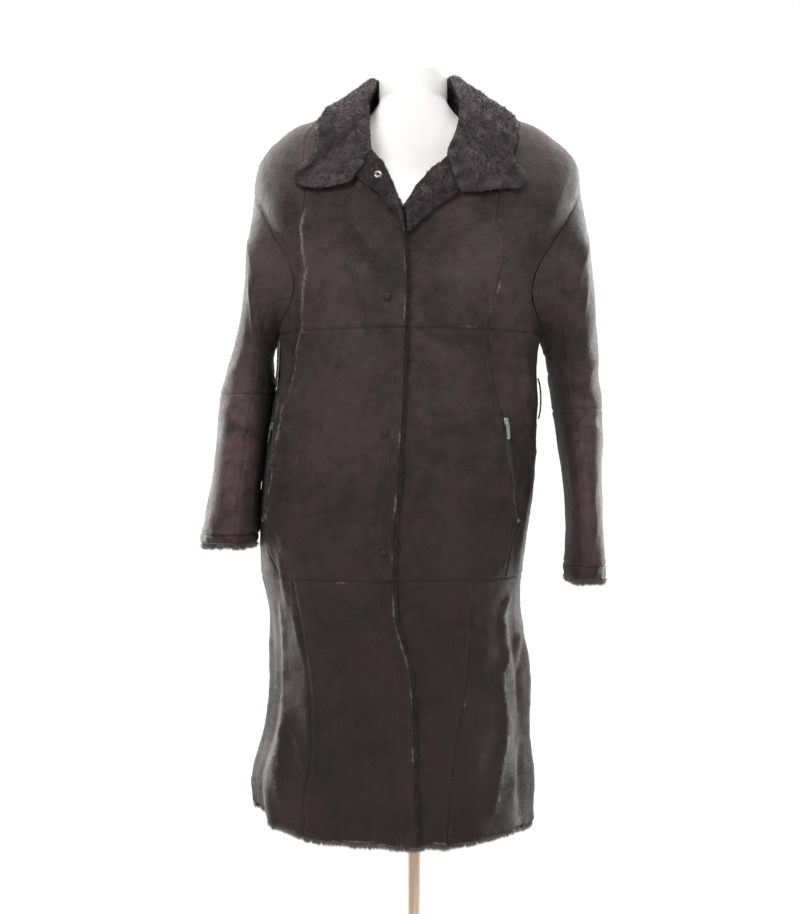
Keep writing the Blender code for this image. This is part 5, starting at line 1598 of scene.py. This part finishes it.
def fill_pile(tree, given):
    """Clipped pile: small curls of light and dark, and their height."""
    curls = tree.add("ShaderNodeTexNoise", {"Vector": given["Place"], "Scale": 170.0,
                                            "Detail": 5.0, "Roughness": 0.6,
                                            "Distortion": 0.4})
    clumps = tree.add("ShaderNodeTexNoise", {"Vector": given["Place"], "Scale": 60.0,
                                             "Detail": 4.0, "Distortion": 0.5})
    both = tree.math("ADD", tree.math("MULTIPLY", curls.outputs["Fac"], 0.4),
                     tree.math("MULTIPLY", clumps.outputs["Fac"], 0.6))
    mask = tree.spread(both, 0.30, 0.70)
    return tree.mix(mask, given["Root"], given["Tip"]), mask


def make_effects():
    """The effects that several materials use, each built once."""
    return {
        "cloud": effect("finish_cloud", [("Place", PLACE, None), ("Scale", NUMBER, 6.0),
                                         ("Low", COLOUR, None), ("High", COLOUR, None)],
                        [("Colour", COLOUR), ("Mask", NUMBER)], fill_cloud),
        "grain": effect("leather_grain", [("Place", PLACE, None), ("Scale", NUMBER, 420.0),
                                          ("Crinkle", NUMBER, 0.5)],
                        [("Height", NUMBER), ("Furrow", NUMBER), ("Crinkle", NUMBER)],
                        fill_grain),
        "rub": effect("wear_and_highlight_mask", [("Place", PLACE, None), ("Worn", NUMBER, 0.0),
                                       ("From", NUMBER, 0.35)], [("Mask", NUMBER)], fill_rub),
        "pile": effect("clipped_pile", [("Place", PLACE, None), ("Root", COLOUR, None),
                                        ("Tip", COLOUR, None)],
                       [("Colour", COLOUR), ("Mask", NUMBER)], fill_pile),
    }


def rgb(red, green, blue):
    """A colour of a socket."""
    return (red, green, blue, 1.0)


def new_finish(name, **shader_values):
    """A material with its Principled shader's constant values set, its tree and place."""
    finish = bpy.data.materials.new(name)
    finish.use_nodes = True
    tree = Tree(finish.node_tree)
    shader = finish.node_tree.nodes["Principled BSDF"]
    for label, value in shader_values.items():
        shader.inputs[label.replace("_", " ")].default_value = value
    place = tree.add("ShaderNodeTexCoord").outputs["Object"]
    return finish, tree, shader, place


def use(tree, name, **inputs):
    """One of the shared effects, placed in a material."""
    node = tree.add("ShaderNodeGroup", node_tree=EFFECTS[name])
    for key, value in inputs.items():
        tree.feed(node.inputs[key], value)
    return node.outputs


def link(tree, shader, **sockets):
    """Link sockets to the shader's inputs by name."""
    for label, socket in sockets.items():
        tree.tree.links.new(socket, shader.inputs[label.replace("_", " ")])


def bump(tree, height, distance, strength=1.0):
    """A bump's normal from a height."""
    return tree.add("ShaderNodeBump", {"Height": height, "Distance": distance,
                                       "Strength": strength}).outputs["Normal"]


def leather_finish(name, low, high, rubbed, crinkle=0.55, dull=0.58):
    """Soft sueded leather: cloudy plum brown with redder and greyer patches and specks, fine
    grain, paler where worn and with painted highlight on crease ridges, painted light from
    above that darkens it towards the hem, and painted light on the lower sleeves."""
    finish, tree, shader, place = new_finish(
        name, Specular_IOR_Level=0.20, Sheen_Weight=0.05, Sheen_Roughness=0.45,
        Sheen_Tint=rgb(0.88, 0.74, 0.76))
    colour = use(tree, "cloud", Place=place, Scale=10.0, Low=low, High=high)
    tint = tree.add("ShaderNodeTexNoise", {"Vector": place, "Scale": 13.0, "Detail": 6.0,
                                           "Roughness": 0.62, "Distortion": 0.5})
    patch = tree.spread(tint.outputs["Fac"], 0.36, 0.64)
    speck = tree.add("ShaderNodeTexNoise", {"Vector": place, "Scale": 520.0, "Detail": 3.0})
    parts = tree.add("ShaderNodeSeparateXYZ", {0: place}).outputs
    # Mask of the lower sleeves' outer sides, where painted light is added.
    arm = tree.math("MULTIPLY", tree.spread(tree.math("ABSOLUTE", parts["X"]), 0.225, 0.255),
                    tree.spread(parts["Z"], 0.68, 0.74))
    arm = tree.math("MULTIPLY", arm, tree.spread(parts["Z"], 1.12, 0.90))
    grain = use(tree, "grain", Place=place, Scale=430.0, Crinkle=crinkle)
    worn = tree.add("ShaderNodeAttribute", attribute_name="worn").outputs["Fac"]
    rub = use(tree, "rub", Place=place, Worn=worn, From=0.42)
    toned = tree.mix(1.0, colour["Colour"], tree.mix(
        patch, rgb(1.06, 0.95, 0.97), rgb(0.93, 0.98, 0.97)), "MULTIPLY")
    toned = tree.mix(tree.spread(speck.outputs["Fac"], 0.54, 0.70, 0.0, 0.05), toned, rubbed)
    # Painted light from above: darker towards the hem, lighter towards the shoulders.
    toned = tree.mix(1.0, toned, tree.mix(tree.spread(parts["Z"], 0.56, 1.18), rgb(
        0.66, 0.52, 0.54), rgb(1.30, 1.26, 1.27)), "MULTIPLY")
    # Painted light: the lower sleeves made more than twice as bright.
    toned = tree.mix(1.0, toned, tree.mix(arm, rgb(1, 1, 1), rgb(2.2, 2.12, 2.14)), "MULTIPLY")
    furrowed = tree.mix(tree.math("MULTIPLY", grain["Furrow"], 0.35), tree.mix(
        0.5, toned, rgb(0.012, 0.009, 0.009)), toned)
    # Paler where worn: wear at seams and edges, with painted highlight on crease ridges.
    shade = tree.mix(tree.math("MULTIPLY", rub["Mask"], 0.62), furrowed, rubbed)
    rough = tree.math("ADD", tree.spread(colour["Mask"], 0, 1, dull, dull + 0.16),
                      tree.math("MULTIPLY", grain["Crinkle"], -0.07))
    link(tree, shader, Base_Color=shade, Roughness=rough,
         Normal=bump(tree, grain["Height"], 0.0011, 0.85))
    return finish


def fur_finish(name, root, tip, sheen=0.12):
    """Short pile: curls of light and dark, each lock with its own tone."""
    finish, tree, shader, place = new_finish(
        name, Specular_IOR_Level=0.18, Sheen_Weight=sheen, Sheen_Roughness=0.5,
        Sheen_Tint=rgb(0.9, 0.84, 0.84))
    pile = use(tree, "pile", Place=place, Root=root, Tip=tip)
    tone = tree.add("ShaderNodeAttribute", attribute_name="worn").outputs["Fac"]
    shade = tree.mix(tree.spread(tone, 0.0, 1.0), tree.mix(0.55, pile["Colour"], root),
                     pile["Colour"])
    link(tree, shader, Base_Color=shade,
         Roughness=tree.spread(pile["Mask"], 0, 1, 0.95, 0.78),
         Normal=bump(tree, pile["Mask"], 0.0014, 0.7))
    return finish


def steel_finish(name, base=(0.66, 0.65, 0.64)):
    """Plated zinc: bright, with fine scratches and dulled patches."""
    finish, tree, shader, place = new_finish(name, Metallic=1.0)
    cloud = use(tree, "cloud", Place=place, Scale=90.0, Low=rgb(*[0.72 * c for c in base]),
                High=rgb(*base))
    fine = tree.add("ShaderNodeTexNoise", {"Vector": place, "Scale": 1600.0, "Detail": 3.0})
    link(tree, shader, Base_Color=cloud["Colour"],
         Roughness=tree.spread(cloud["Mask"], 0, 1, 0.34, 0.20),
         Normal=bump(tree, fine.outputs["Fac"], 0.0001, 0.5))
    return finish


def tape_finish():
    """Zip tape: a herringbone weave of crossed waves."""
    finish, tree, shader, place = new_finish("zip_tape_weave", Specular_IOR_Level=0.25,
                                             Sheen_Weight=0.2)
    warp = tree.add("ShaderNodeTexWave", {"Vector": place, "Scale": 420.0, "Distortion": 0.6},
                    bands_direction="DIAGONAL")
    weft = tree.add("ShaderNodeTexWave", {"Vector": place, "Scale": 420.0, "Distortion": 0.6},
                    bands_direction="Z")
    weave = tree.math("MULTIPLY", warp.outputs["Fac"], weft.outputs["Fac"])
    cloud = use(tree, "cloud", Place=place, Scale=30.0, Low=rgb(0.010, 0.009, 0.010),
                High=rgb(0.026, 0.023, 0.024))
    shade = tree.mix(tree.math("MULTIPLY", weave, 0.6), cloud["Colour"],
                     rgb(0.045, 0.040, 0.041))
    link(tree, shader, Base_Color=shade, Roughness=tree.spread(weave, 0, 1, 0.9, 0.7),
         Normal=bump(tree, weave, 0.0004))
    return finish


def thread_finish():
    """Twisted thread: fine slanting bands."""
    finish, tree, shader, place = new_finish("sewing_thread", Sheen_Weight=0.3)
    twist = tree.add("ShaderNodeTexWave", {"Vector": place, "Scale": 700.0},
                     bands_direction="DIAGONAL")
    cloud = use(tree, "cloud", Place=place, Scale=50.0, Low=rgb(0.020, 0.016, 0.016),
                High=rgb(0.050, 0.041, 0.040))
    shade = tree.mix(tree.math("MULTIPLY", twist.outputs["Fac"], 0.4), cloud["Colour"],
                     rgb(0.012, 0.010, 0.010))
    link(tree, shader, Base_Color=shade, Roughness=tree.spread(cloud["Mask"], 0, 1, 0.75, 0.55),
         Normal=bump(tree, twist.outputs["Fac"], 0.0002))
    return finish


def form_finish():
    """The form's cover: matte white, faintly uneven, with a fine knit."""
    finish, tree, shader, place = new_finish("form_cover", Specular_IOR_Level=0.30,
                                             Sheen_Weight=0.12)
    cloud = use(tree, "cloud", Place=place, Scale=5.0, Low=rgb(0.80, 0.775, 0.765),
                High=rgb(0.88, 0.865, 0.855))
    knit = tree.add("ShaderNodeTexWave", {"Vector": place, "Scale": 260.0, "Distortion": 1.2,
                                          "Detail": 2.0}, bands_direction="Z")
    link(tree, shader, Base_Color=cloud["Colour"],
         Roughness=tree.spread(cloud["Mask"], 0, 1, 0.62, 0.74),
         Normal=bump(tree, knit.outputs["Fac"], 0.0002, 0.4))
    return finish


def beech_finish():
    """Varnished beech: long soft grain with short darker flecks."""
    finish, tree, shader, place = new_finish("beech_pole", Specular_IOR_Level=0.45,
                                             Coat_Weight=0.15, Coat_Roughness=0.25)
    drawn = tree.add("ShaderNodeMapping", {"Vector": place, "Scale": (1.0, 1.0, 0.06)})
    cloud = use(tree, "cloud", Place=drawn.outputs[0], Scale=90.0,
                Low=rgb(0.50, 0.345, 0.235), High=rgb(0.72, 0.555, 0.42))
    flecks = tree.add("ShaderNodeTexNoise", {"Vector": drawn.outputs[0], "Scale": 900.0,
                                             "Detail": 2.0})
    mark = tree.spread(flecks.outputs["Fac"], 0.62, 0.72)
    shade = tree.mix(tree.math("MULTIPLY", mark, 0.5), cloud["Colour"],
                     rgb(0.34, 0.21, 0.13))
    link(tree, shader, Base_Color=shade, Roughness=tree.spread(cloud["Mask"], 0, 1, 0.48, 0.38),
         Normal=bump(tree, mark, 0.0001, 0.5))
    return finish


def coated_finish():
    """Powder-coated steel: white with a fine orange-peel surface."""
    finish, tree, shader, place = new_finish("powder_coat", Specular_IOR_Level=0.5)
    cloud = use(tree, "cloud", Place=place, Scale=14.0, Low=rgb(0.74, 0.73, 0.72),
                High=rgb(0.80, 0.79, 0.78))
    peel = tree.add("ShaderNodeTexNoise", {"Vector": place, "Scale": 700.0, "Detail": 2.0})
    link(tree, shader, Base_Color=cloud["Colour"],
         Roughness=tree.spread(peel.outputs["Fac"], 0.3, 0.7, 0.36, 0.46),
         Normal=bump(tree, peel.outputs["Fac"], 0.0002, 0.4))
    return finish


def studio_finish():
    """The studio's paper floor: as white to the camera as the surround, with a faint trace
    of shadow, and pale grey to the light that it sends back."""
    finish, tree, shader, place = new_finish("studio_paper", Roughness=0.9)
    cloud = use(tree, "cloud", Place=place, Scale=1.2, Low=rgb(0.50, 0.50, 0.50),
                High=rgb(0.53, 0.53, 0.53))
    link(tree, shader, Base_Color=cloud["Colour"])
    glow = tree.add("ShaderNodeEmission", {"Color": rgb(1, 1, 1), "Strength": 1.10})
    seen = tree.add("ShaderNodeLightPath").outputs["Is Camera Ray"]
    both = tree.add("ShaderNodeMixShader", {0: tree.math("MULTIPLY", seen, 0.88),
                                            1: shader.outputs[0], 2: glow.outputs[0]})
    finish.node_tree.links.new(
        both.outputs[0], finish.node_tree.nodes["Material Output"].inputs["Surface"])
    return finish


EFFECTS = make_effects()
# The third colour is the pale one for wear and for painted highlight on ridges.
LEATHER = leather_finish("coat_leather", rgb(0.018, 0.0122, 0.0135),
                         rgb(0.070, 0.0500, 0.0540), rgb(0.290, 0.245, 0.232))
LEATHER_CAP = leather_finish("snap_leather", rgb(0.024, 0.018, 0.019),
                             rgb(0.052, 0.040, 0.043), rgb(0.240, 0.200, 0.190), 0.3, 0.26)
FUR = fur_finish("collar_fur", rgb(0.022, 0.0172, 0.0190), rgb(0.066, 0.0520, 0.0560))
# The collar's fur made paler: painted light on the facings, which lie in shade.
FUR_FACING_PAINTED_LIGHT = fur_finish("facing_fur_painted_light", rgb(0.030, 0.0240, 0.0260), rgb(0.098, 0.0780, 0.0830))
FUR_INSIDE = fur_finish("inside_fur", rgb(0.018, 0.014, 0.015), rgb(0.060, 0.049, 0.050))
# The raw hem and cuff edges' paler pile, made paler still as painted light against the shade
# there.
FUR_EDGE_PALE_AND_LIT = fur_finish("edge_fur", rgb(0.060, 0.047, 0.047), rgb(0.230, 0.190, 0.188), 0.40)
STEEL = steel_finish("plated_zinc")
STEEL_TEETH = steel_finish("shaded_teeth", (0.20, 0.19, 0.19))
STEEL_AGED = steel_finish("aged_ring", (0.30, 0.27, 0.25))
STEEL_TAB = steel_finish("tab_zinc", (0.74, 0.73, 0.72))
# Near black: painted shade for the ring's hole.
SOCKET_PAINTED_SHADE = steel_finish("socket_painted_shade", (0.030, 0.028, 0.028))
TAPE = tape_finish()
THREAD = thread_finish()


# ---- Stand, studio and camera

def form_ring(level, turn):
    """A ring of the form's skin: the coat's ring moved in by the wall and the ease."""
    levels = np.full(len(turn), level)
    side, front, back = smooth_rows(FORM_EASE, np.array(level))
    sine, cosine = np.sin(math.pi * turn), np.cos(math.pi * turn)
    depth = side * sine**2 + np.where(cosine > 0, front, back) * cosine**2
    return ring_point(turn, levels) - coat_normal(turn, levels) * (WALL + depth)[:, None]


def make_form():
    """The limbless form: the solid's rings as rows of a cubic, the neck's edge rounded, both
    ends closed."""
    turn = np.linspace(-1, 1, 161)[:-1]
    levels = np.concatenate([np.linspace(FORM_EASE[0, 0], FORM_CHEST, FORM_ROWS),
                             np.linspace(SHOULDER_TIP, NECK, SHOULDER_STEPS + 1)])
    rings = [form_ring(level, turn) for level in levels]
    rings[0][:, 2] = FORM_EASE[0, 0]
    circle = np.stack([np.sin(math.pi * turn), -np.cos(math.pi * turn)], -1)
    for z, radius in NECK_RINGS:
        rings.append(np.column_stack([(NECK_X, NECK_Y) + radius * circle, np.full(len(turn), z)]))
    table = np.column_stack([np.arange(len(rings)), np.array(rings).reshape(len(rings), -1)])
    at = np.linspace(0, len(rings) - 1, 6 * (len(rings) - 1) + 1)
    body = smooth_rows(table, at).reshape(len(at), -1, 3)
    swing = np.linspace(0, math.pi / 2, 7)[1:]
    below = np.repeat(body[:1], len(swing), 0)
    below[..., :2] *= (1 - (1 - FORM_BOTTOM_SHARE) * (1 - np.cos(swing)))[:, None, None]
    below[..., 2] -= ((FORM_EASE[0, 0] - FORM_BOTTOM) * np.sin(swing))[:, None]
    neck = NECK_RINGS[-1][1] - NECK_BEVEL * (1 - np.cos(swing))
    top = (NECK_RINGS[-1][0] + (NECK_TOP - NECK_RINGS[-1][0]) * np.sin(swing))
    above = np.concatenate([
        (NECK_X, NECK_Y) + neck[:, None, None] * circle,
        np.repeat(top[:, None, None], len(turn), 1)], -1)
    points = np.concatenate([below[::-1], body, above])
    rows, columns = points.shape[:2]
    faces = face_outwards(points.reshape(-1, 3), grid_faces(rows, columns, 0, True))
    low, high = np.arange(columns), np.arange(columns) + (rows - 1) * columns
    straight = faces[0, 1] == 1
    caps = [low[::-1] if straight else low, high if straight else high[::-1]]
    piece = new_piece("form_skin", points.reshape(-1, 3),
                      faces.tolist() + [cap.tolist() for cap in caps], [form_finish()], sharp=60)
    finish_piece(piece, "form_torso", slot="form")


def make_stand():
    """The form, and better finishes for its pole and base, whose shapes stay the solids'."""
    make_form()
    for node, finish in (("form_pole", beech_finish()), ("form_base", coated_finish())):
        for slot in frame["nodes"][node].material_slots:
            slot.material = finish


def soft_light(name, place, target, size, power, colour=(1, 1, 1)):
    """A square soft box at a place, facing a target."""
    data = bpy.data.lights.new(name, "AREA")
    data.shape = "RECTANGLE"
    data.size, data.size_y = size
    data.energy = power
    data.color = colour
    lamp = bpy.data.objects.new(name, data)
    lamp.location = place
    way = Vector(target) - Vector(place)
    lamp.rotation_euler = way.to_track_quat("-Z", "Y").to_euler()
    bpy.context.scene.collection.objects.link(lamp)


def make_studio():
    """A pale floor, soft boxes in front and above, two at the back for the bright rims, and
    a white surround."""
    floor = new_piece("studio_floor", np.array([[-9, -9, -0.0005], [9, -9, -0.0005],
                                                [9, 9, -0.0005], [-9, 9, -0.0005]]),
                      [[0, 1, 2, 3]], [studio_finish()])
    soft_light("key_box", (-1.1, -2.3, 2.9), (0, 0, 1.1), (1.2, 1.2), 62)
    soft_light("fill_box", (1.7, -2.4, 1.9), (0, 0, 1.0), (1.5, 1.5), 20)
    soft_light("top_box", (0.0, 0.1, 2.9), (0, 0, 1.2), (1.6, 1.2), 40)
    soft_light("back_box_left", (-1.7, 1.2, 1.2), (-0.1, 0, 0.9), (0.8, 2.2), 85)
    soft_light("back_box_right", (1.7, 1.2, 1.2), (0.1, 0, 0.9), (0.8, 2.2), 85)
    soft_light("floor_box_left", (-2.6, 3.2, 2.6), (-1.6, 3.0, 0.0), (3.0, 5.0), 260)
    soft_light("floor_box_right", (2.6, 3.2, 2.6), (1.6, 3.0, 0.0), (3.0, 5.0), 260)
    world = bpy.data.worlds.new("white_surround")
    world.use_nodes = True
    tree = Tree(world.node_tree)
    background = world.node_tree.nodes["Background"]
    background.inputs["Color"].default_value = (1.0, 1.0, 1.0, 1.0)
    seen = tree.add("ShaderNodeLightPath").outputs["Is Camera Ray"]
    strength = tree.math("ADD", tree.math("MULTIPLY", seen, 0.70), 0.36)
    world.node_tree.links.new(strength, background.inputs["Strength"])
    bpy.context.scene.world = world
    bpy.context.scene.view_settings.view_transform = "Standard"


def make_camera():
    """The photograph's view: level, straight ahead, from two metres in front."""
    data = bpy.data.cameras.new("camera")
    data.lens = 50
    data.sensor_width = 36
    camera = bpy.data.objects.new("camera", data)
    camera.location = (-0.022, -1.98, 0.89)
    camera.rotation_euler = (math.pi / 2, 0, 0)
    bpy.context.scene.collection.objects.link(camera)
    bpy.context.scene.camera = camera


make_camera()
make_body()
make_sleeves()
make_collar()
make_facings()
make_edge_fur()
make_stitches()
make_zips()
make_snaps()
make_belt_loops()
make_stand()
make_studio()
